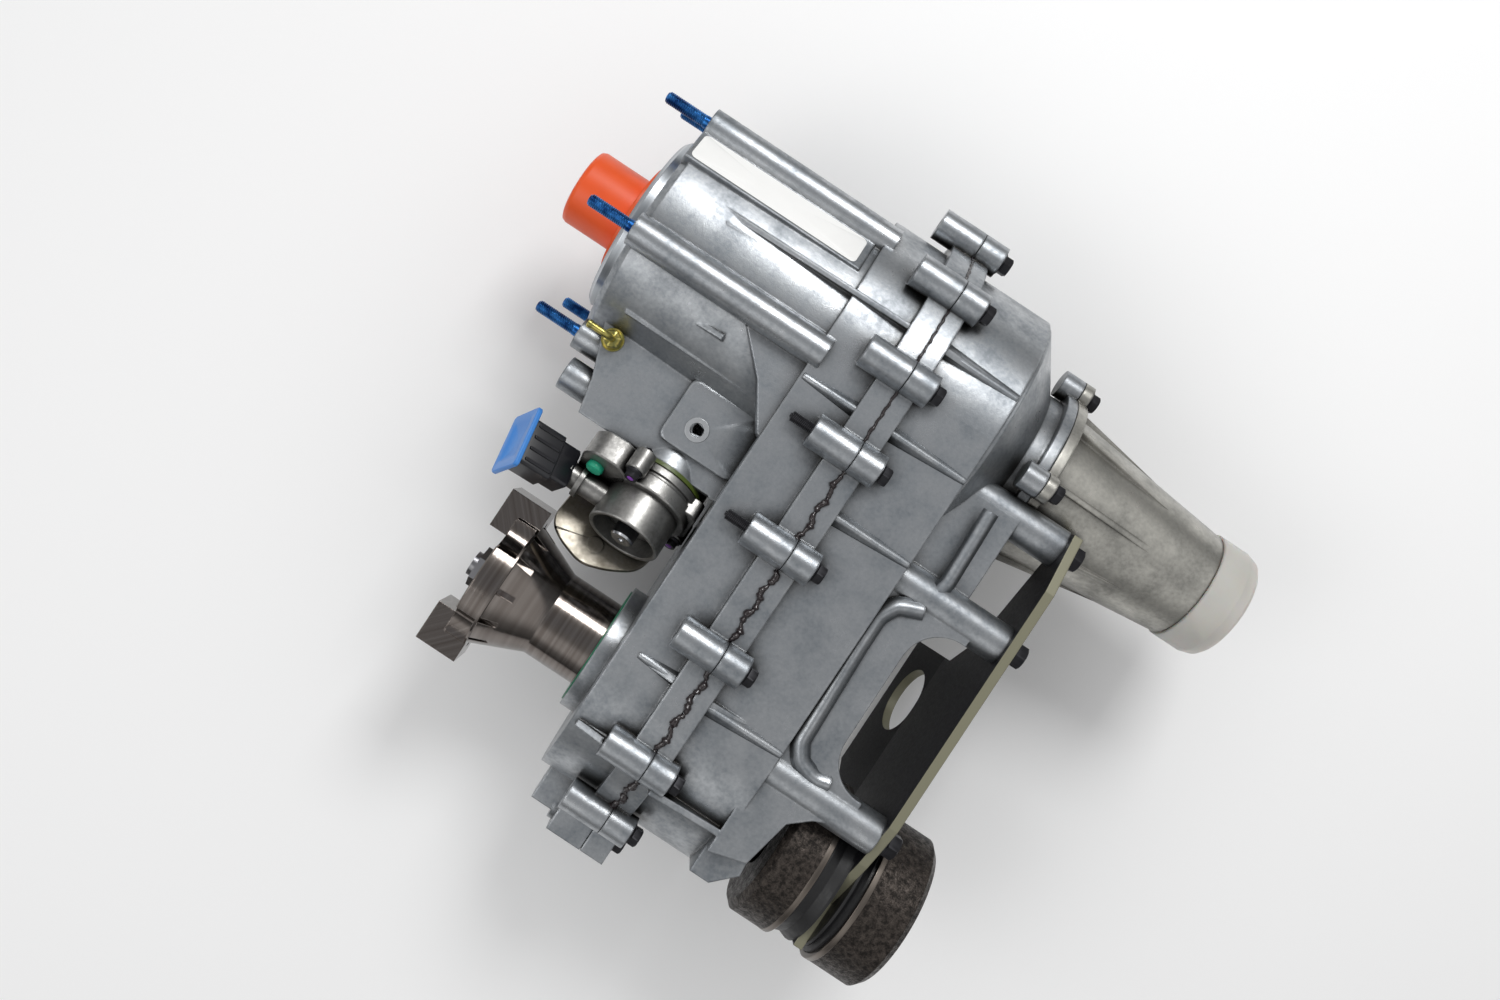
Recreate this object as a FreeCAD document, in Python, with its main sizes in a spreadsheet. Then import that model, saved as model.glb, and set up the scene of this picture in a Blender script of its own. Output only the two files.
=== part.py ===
"""Part-time four-wheel-drive transfer case, lying on its side as it is shipped.

Frame: millimetres. The main shaft runs along +X, from the front mounting face at X = 0 to the tail.
The front output axis is parallel to it at Y = -centre_distance, Z = 0. +Z is the side that faces up.
"""
import FreeCAD
import Part
import math
import os
import Sketcher

# Driving sizes: lengths in mm, angles in degrees, counts as whole numbers.
SIZES = {
    # chain drive and layout
    "centre_distance": 285.75,
    "chain_pitch": 9.525,
    "sprocket_teeth": 36,
    "chain_width": 31.75,
    "chain_depth": 10.0,
    "chain_x": 172.0,
    "split_x": 212.0,
    "sealant_gap": 0.6,
    "seat_gap": 0.05,
    "run_gap": 0.06,
    "side_gap": 0.4,
    # front mounting face
    "stud_circle_r": 102.0,
    "stud_first_angle": -50.0,
    "stud_count": 6,
    "stud_r": 4.75,
    "stud_reach": 37.0,
    "stud_depth": 28.0,
    "stud_held_r": 4.3,
    "stud_boss_r": 12.5,
    "pilot_r": 72.0,
    "pilot_reach": 12.0,
    "pilot_bore_r": 47.0,
    "input_seal_r": 40.0,
    "pilot_chamfer": 3.0,
    # front case half
    "housing_r": 98.0,
    "housing_inner_r": 86.0,
    "case_wall": 7.0,
    "chain_wall_x": 151.0,
    "main_end_r": 106.0,
    "front_end_r": 94.0,
    "flange_step": 8.0,
    "flange_front_x": 195.0,
    "flange_rear_x": 225.0,
    "bolt_boss_front_x": 178.0,
    "bolt_boss_rear_x": 232.0,
    "bolt_boss_r": 12.5,
    "bolt_r": 4.0,
    "bolt_flat": 13.0,
    "gusset_half": 97.0,
    "ledge_half": 74.0,
    "chamber_half": 57.0,
    "chamber_front_x": 34.0,
    "chamber_side_y": 145.0,
    "rail_y": 126.0,
    "rail_z": 38.0,
    "rail_r": 8.0,
    "rail_boss_r": 13.0,
    "rail_boss_x": 8.0,
    "rib_width": 5.0,
    "seal_boss_r": 52.0,
    "seal_boss_x": 139.0,
    "front_seal_r": 48.0,
    "foot_x": 182.0,
    "foot_r": 133.0,
    "foot_half": 18.0,
    # rear case half
    "rear_wall_x": 286.0,
    "case_rail_x": 268.0,
    "neck_x": 318.0,
    "neck_r": 62.0,
    "tail_face_x": 337.0,
    "tail_flange_r": 70.0,
    "tail_lug_circle_r": 74.0,
    "tail_lug_r": 11.0,
    "tail_flange_thick": 8.0,
    "tail_bolt_angle": 5.5,
    "arm_r": 14.8,
    "arm_end_x": 375.0,
    "arm_upper_y": 37.2,
    "arm_upper_z": 63.0,
    "arm_y": 117.3,
    "arm_z": 79.0,
    "arm_lower_y": 277.9,
    "web_top": 90.0,
    "web_thick": 16.0,
    # tail housing and plugs
    "tail_end_x": 487.0,
    "tail_end_r": 43.5,
    "tail_root_r": 60.0,
    "tail_wall": 6.0,
    "tail_bore_r": 34.0,
    "tail_sealant_r": 57.5,
    "fork_boss_r": 11.0,
    "vent_x": 26.0,
    "vent_y": 88.0,
    "output_seal_inner": 24.0,
    "cap_r": 45.0,
    "cap_end_x": 522.0,
    "cap_wall": 1.6,
    "plug_r": 30.5,
    "plug_end_x": 64.0,
    "plug_flange_r": 44.0,
    "plug_wall": 2.0,
    # damper and its bracket
    "plate_thick": 7.0,
    "plate_shift": 10.0,
    "plate_bend_z": 42.0,
    "plate_top": 97.0,
    "plate_low": 112.0,
    "damper_y": 328.8,
    "damper_z": 20.0,
    "damper_r": 61.5,
    "damper_front_thick": 35.0,
    "damper_rear_thick": 42.0,
    "damper_bolt_r": 6.0,
    "rubber_front_thick": 18.0,
    "rubber_rear_thick": 9.0,
    "bracket_bolt_r": 5.0,
    "bracket_bolt_flat": 17.0,
    # gear set
    "gear_module": 2.5,
    "sun_teeth": 33,
    "planet_teeth": 12,
    "annulus_teeth": 57,
    "planet_count": 3,
    "gear_x": 54.0,
    "gear_width": 30.0,
    "tooth_backlash": 1.0,
    "planet_pin_r": 6.0,
    "carrier_plate": 8.0,
    "carrier_r": 68.0,
    # shafts and bearings
    "input_bearing_x": 12.0,
    "input_bearing_r": 55.0,
    "input_bearing_width": 22.0,
    "input_journal_r": 30.0,
    "input_nose_x": 9.0,
    "pilot_journal_r": 12.0,
    "mainshaft_r": 18.0,
    "mainshaft_end_x": 476.0,
    "sprocket_journal_r": 24.0,
    "rear_bearing_x": 296.0,
    "rear_bearing_r": 42.0,
    "rear_bearing_width": 19.0,
    "rear_journal_r": 20.0,
    "front_shaft_r": 18.0,
    "front_bearing_x": 156.0,
    "front_bearing_r": 36.0,
    "front_bearing_width": 16.0,
    "pump_x": 256.0,
    "needle_x": 252.0,
    "needle_width": 20.0,
    "needle_r": 22.0,
    "needle_journal_r": 15.0,
    # front output flange
    "flange_face_x": 22.0,
    "flange_rim_x": 56.0,
    "flange_pad_x": 37.0,
    "flange_ear_r": 66.0,
    "flange_rim_r": 56.0,
    "flange_cone_x": 95.0,
    "flange_neck_r": 35.0,
    "flange_neck_x": 137.0,
    "flange_bolt_circle_r": 48.0,
    "flange_bolt_r": 5.0,
    # shifting
    "hub_slide_r": 36.0,
    "hub_groove_r": 31.0,
    "range_hub_x": 99.0,
    "mode_hub_x": 212.0,
    "hub_width": 16.0,
    "fork_thick": 6.0,
    "hub_travel": 11.0,
    # shift actuator, drawn about its own shaft
    "actuator_x": 110.0,
    "actuator_y": 156.0,
    "actuator_z": 30.0,
    "actuator_tilt": 25.0,
    "actuator_r": 34.0,
    "actuator_depth": 52.0,
    "actuator_wall": 4.0,
    "sector_shaft_r": 8.0,
    "motor_r": 15.0,
    "connector_width": 30.0,
    "connector_length": 40.0,
    # small parts
    "vent_r": 4.0,
    "plug_thread_r": 9.0,
    "label_length": 139.0,
    "label_width": 27.0,
    "label_thick": 0.3,
    "label_angle": 35.0,
}

document = FreeCAD.newDocument("transfer_case")
sheet = document.addObject("Spreadsheet::Sheet", "Sizes")
for row, (alias, number) in enumerate(SIZES.items(), start=1):
    sheet.set(f"A{row}", alias)
    sheet.set(f"B{row}", str(number))
    sheet.setAlias(f"B{row}", alias)
document.recompute()


class Size:
    """A length, angle or count: its value now, and the sheet formula that gives it."""

    def __init__(self, formula, value):
        self.formula = formula
        self.value = value

    def __add__(self, other):
        other = as_size(other)
        return Size(f"({self.formula} + {other.formula})", self.value + other.value)

    def __sub__(self, other):
        other = as_size(other)
        return Size(f"({self.formula} - {other.formula})", self.value - other.value)

    def __mul__(self, other):
        other = as_size(other)
        return Size(f"({self.formula} * {other.formula})", self.value * other.value)

    def __truediv__(self, other):
        other = as_size(other)
        return Size(f"({self.formula} / {other.formula})", self.value / other.value)

    def __radd__(self, other):
        return as_size(other) + self

    def __rsub__(self, other):
        return as_size(other) - self

    def __rmul__(self, other):
        return as_size(other) * self

    def __neg__(self):
        return Size(f"(-{self.formula})", -self.value)


def as_size(number):
    """Give a plain number the same two faces as a size from the sheet."""
    if isinstance(number, Size):
        return number
    return Size(f"({number})", float(number))


def sine(angle):
    angle = as_size(angle)
    return Size(f"sin({angle.formula})", math.sin(math.radians(angle.value)))


def cosine(angle):
    angle = as_size(angle)
    return Size(f"cos({angle.formula})", math.cos(math.radians(angle.value)))


class Names:
    """The sheet's sizes by name."""

    def __getattr__(self, alias):
        return Size(f"Sizes.{alias}", float(SIZES[alias]))


s = Names()


def bind(thing, prop, amount):
    """Tie a property to a formula of the sheet's sizes."""
    thing.setExpression(prop, as_size(amount).formula)


def new_body(label, y=0, z=0, x=0):
    """An empty body whose own X axis lies parallel to the main shaft."""
    body = document.addObject("PartDesign::Body", label)
    body.Label = label
    body.AllowCompound = True
    bind(body, ".Placement.Base.x", x)
    bind(body, ".Placement.Base.y", y)
    bind(body, ".Placement.Base.z", z)
    return body


def origin_item(body, role):
    """One of the body's own planes or axes."""
    return next(item for item in body.Origin.OriginFeatures if item.Role == role)


def new_sketch(body, plane="YZ_Plane", offset=0):
    """A sketch on one of the body's planes; on YZ its two directions are Y and Z, and it is at x = offset."""
    sketch = body.newObject("Sketcher::SketchObject", body.Label + "_sketch")
    sketch.AttachmentSupport = [(origin_item(body, plane), "")]
    sketch.MapMode = "FlatFace"
    bind(sketch, ".AttachmentOffset.Base.z", offset)
    return sketch


def dimension(sketch, kind, start, end, amount):
    """Add a distance between two points of a sketch, or a radius when there is no end point."""
    amount = as_size(amount)
    if end is None:
        constraint = Sketcher.Constraint(kind, start, amount.value)
    else:
        constraint = Sketcher.Constraint(kind, *start, *end, amount.value)
    index = sketch.addConstraint(constraint)
    sketch.setExpression(f"Constraints[{index}]", amount.formula)


ORIGIN_POINT = (-1, 1)


def outline(sketch, points):
    """A closed outline of straight lines through points, each a pair of sizes."""
    points = [(as_size(across), as_size(up)) for across, up in points]
    count = len(points)
    first = sketch.GeometryCount
    corners = [FreeCAD.Vector(across.value, up.value, 0) for across, up in points]
    for i in range(count):
        sketch.addGeometry(Part.LineSegment(corners[i], corners[(i + 1) % count]), False)
    for i in range(count):
        sketch.addConstraint(Sketcher.Constraint("Coincident", first + i, 2, first + (i + 1) % count, 1))
    for i, (across, up) in enumerate(points):
        dimension(sketch, "DistanceX", ORIGIN_POINT, (first + i, 1), across)
        dimension(sketch, "DistanceY", ORIGIN_POINT, (first + i, 1), up)


def circle(sketch, across, up, radius):
    """A circle about a point."""
    across = as_size(across)
    up = as_size(up)
    radius = as_size(radius)
    centre = FreeCAD.Vector(across.value, up.value, 0)
    index = sketch.addGeometry(Part.Circle(centre, FreeCAD.Vector(0, 0, 1), radius.value), False)
    dimension(sketch, "DistanceX", ORIGIN_POINT, (index, 3), across)
    dimension(sketch, "DistanceY", ORIGIN_POINT, (index, 3), up)
    dimension(sketch, "Radius", index, None, radius)


def loop(sketch, main_r, front_r):
    """Arcs about the main and front axes joined by their two common tangents, like a belt round two pulleys."""
    main_r = as_size(main_r)
    front_r = as_size(front_r)
    apart = s.centre_distance
    turn = math.acos((front_r.value - main_r.value) / apart.value)
    up = FreeCAD.Vector(0, 0, 1)
    main_centre = FreeCAD.Vector(0, 0, 0)
    front_centre = FreeCAD.Vector(-apart.value, 0, 0)

    def rim(centre, radius, angle):
        return centre + FreeCAD.Vector(radius * math.cos(angle), radius * math.sin(angle), 0)

    main_arc = sketch.addGeometry(Part.ArcOfCircle(Part.Circle(main_centre, up, main_r.value), -turn, turn), False)
    front_arc = sketch.addGeometry(
        Part.ArcOfCircle(Part.Circle(front_centre, up, front_r.value), turn, 2 * math.pi - turn), False
    )
    upper = sketch.addGeometry(
        Part.LineSegment(rim(main_centre, main_r.value, turn), rim(front_centre, front_r.value, turn)), False
    )
    lower = sketch.addGeometry(
        Part.LineSegment(rim(front_centre, front_r.value, -turn), rim(main_centre, main_r.value, -turn)), False
    )
    for one, one_end, other, other_end in (
        (upper, 1, main_arc, 2),
        (upper, 2, front_arc, 1),
        (lower, 1, front_arc, 2),
        (lower, 2, main_arc, 1),
    ):
        sketch.addConstraint(Sketcher.Constraint("Tangent", one, one_end, other, other_end))
    sketch.addConstraint(Sketcher.Constraint("Coincident", main_arc, 3, *ORIGIN_POINT))
    sketch.addConstraint(Sketcher.Constraint("PointOnObject", front_arc, 3, -1))
    dimension(sketch, "DistanceX", (front_arc, 3), ORIGIN_POINT, apart)
    dimension(sketch, "Radius", main_arc, None, main_r)
    dimension(sketch, "Radius", front_arc, None, front_r)


def pad(body, sketch, length, both_ways=False):
    """Raise the sketch along its normal, or half each way."""
    feature = body.newObject("PartDesign::Pad", body.Label + "_pad")
    feature.Profile = sketch
    feature.Midplane = both_ways
    feature.Refine = False
    bind(feature, "Length", length)
    return feature


def pocket(body, sketch, length, forwards=True, both_ways=False):
    """Cut the sketch along its normal, or half each way."""
    feature = body.newObject("PartDesign::Pocket", body.Label + "_pocket")
    feature.Profile = sketch
    feature.Reversed = forwards
    feature.Midplane = both_ways
    feature.Refine = False
    bind(feature, "Length", length)
    return feature


def turn(body, profile, cut=False):
    """Turn a half profile of (x, radius) points about the body's own X axis, as metal or as a bore."""
    sketch = new_sketch(body, "XY_Plane")
    outline(sketch, profile)
    kind = "Groove" if cut else "Revolution"
    feature = body.newObject("PartDesign::" + kind, body.Label + "_" + kind.lower())
    feature.Profile = sketch
    feature.ReferenceAxis = (sketch, ["H_Axis"])
    feature.Angle = 360
    feature.Refine = False
    return feature


def around(body, feature, count, axis="X_Axis"):
    """Repeat a feature evenly about one of the body's axes."""
    pattern = body.newObject("PartDesign::PolarPattern", body.Label + "_pattern")
    pattern.Originals = [feature]
    pattern.Axis = (origin_item(body, axis), [""])
    pattern.Angle = 360
    pattern.Refine = False
    bind(pattern, "Occurrences", count)
    body.Tip = pattern
    return pattern


def tube(body, start, end, inner, outer):
    """A plain ring between two stations."""
    return turn(body, [(start, inner), (end, inner), (end, outer), (start, outer)])


def bar(body, start, end, across, up, radius):
    """A round bar along X."""
    sketch = new_sketch(body, offset=start)
    circle(sketch, across, up, radius)
    return pad(body, sketch, as_size(end) - start)


def bars(body, start, end, places, radius):
    """Equal round bars along X."""
    sketch = new_sketch(body, offset=start)
    for across, up in places:
        circle(sketch, across, up, radius)
    return pad(body, sketch, as_size(end) - start)


def holes(body, start, end, places, radius):
    """Equal round holes along X."""
    sketch = new_sketch(body, offset=start)
    for across, up in places:
        circle(sketch, across, up, radius)
    return pocket(body, sketch, as_size(end) - start)


def hole(body, start, end, across, up, radius):
    """A round hole along X."""
    sketch = new_sketch(body, offset=start)
    circle(sketch, across, up, radius)
    return pocket(body, sketch, as_size(end) - start)


def slab(body, points, low, high):
    """A flat piece between two heights, with an outline in X and Y."""
    sketch = new_sketch(body, "XY_Plane", low)
    outline(sketch, points)
    return pad(body, sketch, as_size(high) - low)


def rectangle(low_across, high_across, low_up, high_up):
    """The four corners of a rectangle."""
    return [(low_across, low_up), (high_across, low_up), (high_across, high_up), (low_across, high_up)]


def case_bolt_places():
    """Where the case bolts stand round the flange, as (y, z): one at each end, the others on both sides."""
    upper = [(67, 97), (-1, 114), (-66, 112), (-146, 109), (-231, 106), (-322, 96.5), (-377, 58)]
    both = upper + [(across, -up) for across, up in upper]
    return [(121, 20), (-403, 0)] + both


# The bolts stand where the flange carries them, measured from the nearer of the two axes.
MAIN_SPAN = 140


def bolt_place(across, up):
    """A bolt's place: those beyond the middle of the case follow the front output axis."""
    if across < -MAIN_SPAN:
        return -s.centre_distance + (across + SIZES["centre_distance"]), as_size(up)
    return as_size(across), as_size(up)


BOLTS = [bolt_place(across, up) for across, up in case_bolt_places()]
LONG_BOLTS = [4, 5]


def front_case_half():
    """Die-cast front half: planetary housing, shift chamber and the front half of the chain housing."""
    body = new_body("front_case_half")
    wall_x = s.chain_wall_x
    split = s.split_x - s.sealant_gap / 2
    deep = wall_x + s.case_wall
    edge = 5
    turn(body, [(0, 0), (deep, 0), (deep, s.housing_r + 3), (edge, s.housing_r), (0, s.housing_r - edge)])
    angle = s.stud_first_angle
    ridge = bar(
        body, 0, deep, s.stud_circle_r * sine(-angle), s.stud_circle_r * cosine(angle), s.stud_boss_r
    )
    around(body, ridge, s.stud_count)
    # flat gusset from the planetary housing down to the chain housing, with its edge on the slant
    gusset = [(50, 22), (100, -29), (128, -57), (wall_x - 3, -88), (deep, -94), (deep, 22)]
    slab(body, gusset, -s.gusset_half, s.gusset_half)
    ledge = [(16, -40), (24, -68), (deep, -68), (deep, -40)]
    slab(body, ledge, -s.ledge_half, s.ledge_half)
    side = -s.chamber_side_y
    front = s.chamber_front_x
    chamber = [(10, -70), (front - 6, -118), (front, side), (deep, side), (deep, -70)]
    slab(body, chamber, -s.chamber_half, s.chamber_half)
    slab(body, rectangle(97, deep, -122, -80), -s.chamber_half, s.chamber_half + 4)
    bar(body, s.rail_boss_x, deep, -s.rail_y, s.rail_z, s.rail_boss_r)
    # chain housing and its bolting flange
    sketch = new_sketch(body, offset=wall_x)
    loop(sketch, s.main_end_r, s.front_end_r)
    pad(body, sketch, split - wall_x)
    sketch = new_sketch(body, offset=s.flange_front_x)
    loop(sketch, s.main_end_r + s.flange_step, s.front_end_r + s.flange_step)
    pad(body, sketch, split - s.flange_front_x)
    bars(body, s.bolt_boss_front_x, split, BOLTS, s.bolt_boss_r)
    foot = rectangle(-s.centre_distance - s.foot_r, -s.centre_distance - 80, -s.foot_half, s.foot_half)
    sketch = new_sketch(body, offset=s.foot_x)
    outline(sketch, foot)
    pad(body, sketch, split - s.foot_x)
    toe = rectangle(-s.centre_distance - s.foot_r + 12, -s.centre_distance - 80, -12, 12)
    sketch = new_sketch(body, offset=s.foot_x - 22)
    outline(sketch, toe)
    pad(body, sketch, 24)
    # seat of the front output seal
    bar(body, s.seal_boss_x, deep, -s.centre_distance, 0, s.seal_boss_r)
    # long tapering ribs across both faces
    half = s.rib_width / 2
    low = s.front_end_r - 4
    tall = s.front_end_r + s.flange_step - 1
    for across in (-38, -262, -325):
        start = wall_x + 4
        rib = [(start, low), (s.flange_front_x + 2, tall), (s.flange_front_x + 2, -tall), (start, -low)]
        sketch = new_sketch(body, "XZ_Plane", -as_size(across))
        outline(sketch, rib)
        pad(body, sketch, half * 2, both_ways=True)
    spine = [(6, 90), (s.flange_front_x, 109), (s.flange_front_x, 80), (6, 80)]
    sketch = new_sketch(body, "XZ_Plane", -29)
    outline(sketch, spine)
    pad(body, sketch, 4, both_ways=True)
    short_rib = [(8, 70), (92, 93), (100, 70)]
    sketch = new_sketch(body, "XZ_Plane", 46)
    outline(sketch, short_rib)
    pad(body, sketch, 4, both_ways=True)
    # flat seat for the label
    seat = new_sketch(body, offset=0)
    turn_angle = s.label_angle
    reach = s.housing_r + 3.5
    wide = s.label_width / 2 + 2

    def seat_point(out, along):
        return out * sine(turn_angle) + along * cosine(turn_angle), out * cosine(turn_angle) - along * sine(turn_angle)

    outline(seat, [seat_point(reach, -wide), seat_point(reach, wide), seat_point(80, wide), seat_point(80, -wide)])
    pad(body, seat, s.label_length + 6)
    # actuator mounting pad on the slanted side of the shift chamber
    actuator_pad(body)
    # chamber behind the front wall: bearing seat, planetary space, shift chamber, chain space
    inner = s.housing_inner_r
    bearing_end = s.input_bearing_x + s.input_bearing_width
    bearing_r = s.input_bearing_r + s.seat_gap
    ring_end = s.gear_x + s.gear_width + 1
    turn(
        body,
        [
            (-1, 0),
            (-1, s.pilot_bore_r),
            (s.input_bearing_x, s.pilot_bore_r),
            (s.input_bearing_x, bearing_r),
            (bearing_end, bearing_r),
            (bearing_end + 4, inner),
            (ring_end + 1, inner),
            (deep + 1, inner),
            (deep + 1, 0),
        ],
        cut=True,
    )
    thick = s.case_wall
    sketch = new_sketch(body, "XY_Plane")
    outline(sketch, [(front + thick, -60), (front + thick, side + thick), (deep + 1, side + thick), (deep + 1, -60)])
    pocket(body, sketch, (s.chamber_half - thick) * 2, both_ways=True)
    sketch = new_sketch(body, offset=wall_x + thick)
    loop(sketch, s.main_end_r - thick, s.front_end_r - thick)
    pocket(body, sketch, s.split_x - wall_x)
    bearing_back = s.front_bearing_x + s.front_bearing_width
    bar(body, wall_x + 1, bearing_back, -s.centre_distance, 0, s.front_bearing_r + 8)
    hole(body, s.seal_boss_x - 1, bearing_back + 1, -s.centre_distance, 0, s.front_bearing_r + s.seat_gap)
    hole(body, s.seal_boss_x - 1, s.seal_boss_x + 10.5, -s.centre_distance, 0, s.front_seal_r + s.seat_gap)
    hole(body, s.rail_boss_x + 10, deep + 1, -s.rail_y, s.rail_z, s.rail_r + s.seat_gap)
    sketch = new_sketch(body, offset=-1)
    circle(sketch, s.stud_circle_r * sine(-angle), s.stud_circle_r * cosine(angle), s.stud_held_r + s.seat_gap)
    around(body, pocket(body, sketch, s.stud_depth + 2), s.stud_count)
    holes(body, s.bolt_boss_front_x - 1, split + 1, BOLTS, s.bolt_r + s.seat_gap)
    sketch = new_sketch(body, "XY_Plane", s.chamber_half + 5)
    circle(sketch, 114, -108, 5)
    pocket(body, sketch, 14, forwards=False)
    sketch = new_sketch(body, "XY_Plane", s.chamber_half + 1)
    circle(sketch, s.vent_x, -s.vent_y, s.vent_r + s.seat_gap)
    pocket(body, sketch, 12, forwards=False)
    actuator_bore(body)
    return body


def actuator_sketch(body, out):
    """A sketch square to the actuator's shaft; its first direction is X and its second one points up."""
    sketch = body.newObject("Sketcher::SketchObject", body.Label + "_sketch")
    sketch.AttachmentSupport = [(origin_item(body, "XZ_Plane"), "")]
    sketch.MapMode = "FlatFace"
    tilt = s.actuator_tilt
    sketch.AttachmentOffset = FreeCAD.Placement(
        FreeCAD.Vector(0, 0, 0), FreeCAD.Rotation(FreeCAD.Vector(-1, 0, 0), tilt.value)
    )
    bind(sketch, ".AttachmentOffset.Rotation.Angle", tilt)
    bind(sketch, ".AttachmentOffset.Base.x", s.actuator_x)
    bind(sketch, ".AttachmentOffset.Base.y", s.actuator_z + sine(tilt) * out)
    bind(sketch, ".AttachmentOffset.Base.z", s.actuator_y + cosine(tilt) * out)
    return sketch


def actuator_pad(body):
    """Round boss on the chamber's side that the actuator bolts to."""
    sketch = actuator_sketch(body, as_size(-34))
    circle(sketch, 0, 0, s.actuator_r + 2)
    pad(body, sketch, 34)
    sketch = actuator_sketch(body, as_size(0))
    circle(sketch, 0, 0, s.actuator_r + 12)
    pocket(body, sketch, 30)


def actuator_bore(body):
    """Bore for the sector shaft through the boss and the chamber wall."""
    sketch = actuator_sketch(body, as_size(1))
    circle(sketch, 0, 0, s.sector_shaft_r + 0.5)
    pocket(body, sketch, 42, forwards=False)


def rear_case_half():
    """Die-cast rear half: chain housing, neck for the tail housing, web and arms for the damper bracket."""
    body = new_body("rear_case_half")
    split = s.split_x + s.sealant_gap / 2
    wall = s.rear_wall_x
    sketch = new_sketch(body, offset=split)
    loop(sketch, s.main_end_r, s.front_end_r)
    pad(body, sketch, wall - split)
    sketch = new_sketch(body, offset=split)
    loop(sketch, s.main_end_r + s.flange_step, s.front_end_r + s.flange_step)
    pad(body, sketch, s.flange_rear_x - split)
    bars(body, split, s.bolt_boss_rear_x, BOLTS, s.bolt_boss_r)
    foot = rectangle(-s.centre_distance - s.foot_r, -s.centre_distance - 80, -s.foot_half, s.foot_half)
    sketch = new_sketch(body, offset=split)
    outline(sketch, foot)
    pad(body, sketch, s.bolt_boss_rear_x - split)
    # shoulder and neck about the main axis
    neck = [(wall - 8, 0), (wall - 8, s.main_end_r - 2), (wall + 3, s.main_end_r - 3), (s.neck_x, s.neck_r)]
    turn(body, neck + [(s.tail_face_x, s.neck_r), (s.tail_face_x, 0)])
    bar(body, s.tail_face_x - s.tail_flange_thick, s.tail_face_x, 0, 0, s.tail_flange_r)
    bars(body, s.tail_face_x - s.tail_flange_thick * 2, s.tail_face_x, TAIL_BOLTS, s.tail_lug_r)
    # sloping back of the lower end
    low_end = -s.centre_distance - 86
    back = [(wall - 6, low_end + 60), (wall + 22, low_end + 60), (wall + 26, low_end + 16), (wall + 10, low_end), (wall - 6, low_end)]
    slab(body, back, -40, s.web_top - s.web_thick)
    # arms and the web that ties them to the case
    root = wall - 6
    web_low = s.web_top - s.web_thick
    bars(body, root, s.arm_end_x, ARMS, s.arm_r)
    window_x = s.arm_end_x - 37
    slab(
        body,
        [(root, -s.arm_upper_y), (window_x, -s.arm_upper_y), (window_x, -s.arm_y), (root, -s.arm_y)],
        web_low - 10,
        web_low + 4,
    )
    low_y = -s.arm_lower_y
    lower_web = [(root, -s.arm_y), (352, -s.arm_y), (352, low_y - 4), (330, low_y - 14), (316, low_y - 26), (308, low_y - 64), (root, low_y - 72)]
    slab(body, lower_web, web_low, s.web_top)
    arch_r = 30
    arch_x = 319
    arch_top = -s.arm_y - s.arm_r - arch_r
    arch_end = low_y + s.arm_r + arch_r
    sketch = new_sketch(body, "XY_Plane", web_low - 1)
    circle(sketch, arch_x + arch_r, arch_top, arch_r)
    circle(sketch, arch_x + arch_r, arch_end, arch_r)
    pocket(body, sketch, s.web_thick + 2)
    sketch = new_sketch(body, "XY_Plane", web_low - 1)
    outline(sketch, rectangle(arch_x, arch_x + arch_r + 5, arch_end, arch_top))
    pocket(body, sketch, s.web_thick + 2)
    # filler and drain bosses
    bars(body, root, wall + 8, DRAINS, s.plug_thread_r + 7)
    # tapering ribs
    low = s.front_end_r - 4
    tall = s.front_end_r + s.flange_step - 1
    for across in (-38, -107, -262, -335):
        start = s.flange_rear_x - 2
        rib = [(start, tall), (wall - 6, low), (wall - 6, -low), (start, -tall)]
        sketch = new_sketch(body, "XZ_Plane", -as_size(across))
        outline(sketch, rib)
        pad(body, sketch, s.rib_width, both_ways=True)
    spine = [(s.flange_rear_x - 2, 109), (wall - 8, 100), (wall - 8, 90), (s.flange_rear_x - 2, 90)]
    sketch = new_sketch(body, "XZ_Plane", -29)
    outline(sketch, spine)
    pad(body, sketch, s.rib_width, both_ways=True)
    # inside
    thick = s.case_wall
    sketch = new_sketch(body, offset=split - 1)
    loop(sketch, s.main_end_r - thick, s.front_end_r - thick)
    pocket(body, sketch, wall - thick - split + 1)
    bar(body, s.needle_x - 2, wall - 2, -s.centre_distance, 0, s.needle_r + 8)
    hole(body, s.needle_x - 3, s.needle_x + s.needle_width, -s.centre_distance, 0, s.needle_r + s.seat_gap)
    bearing_r = s.rear_bearing_r + s.seat_gap
    step = s.rear_bearing_x
    turn(body, [(wall - 20, 0), (wall - 20, 36), (step, 36), (step, bearing_r), (400, bearing_r), (400, 0)], cut=True)
    hole(body, s.case_rail_x, wall - 2, -s.rail_y, s.rail_z, s.rail_r + s.seat_gap)
    holes(body, split - 1, s.bolt_boss_rear_x + 1, BOLTS, s.bolt_r + 0.3)
    holes(body, s.tail_face_x - s.tail_flange_thick * 2 + 2, s.tail_face_x + 1, TAIL_BOLTS, s.bolt_r + s.seat_gap)
    holes(body, s.arm_end_x - 26, s.arm_end_x + 1, ARMS, s.bracket_bolt_r + s.seat_gap)
    holes(body, wall - 12, wall + 9, DRAINS, s.plug_thread_r + s.seat_gap)
    return body


ARMS = [
    (-s.arm_upper_y, s.arm_upper_z),
    (-s.arm_y, s.arm_z),
    (-s.arm_lower_y, s.arm_z),
]
DRAINS = [(as_size(-170), as_size(-50)), (as_size(-330), as_size(-56))]
TAIL_BOLTS = [
    (s.tail_lug_circle_r * cosine(s.tail_bolt_angle + 90 * k), s.tail_lug_circle_r * sine(s.tail_bolt_angle + 90 * k))
    for k in range(4)
]


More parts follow.
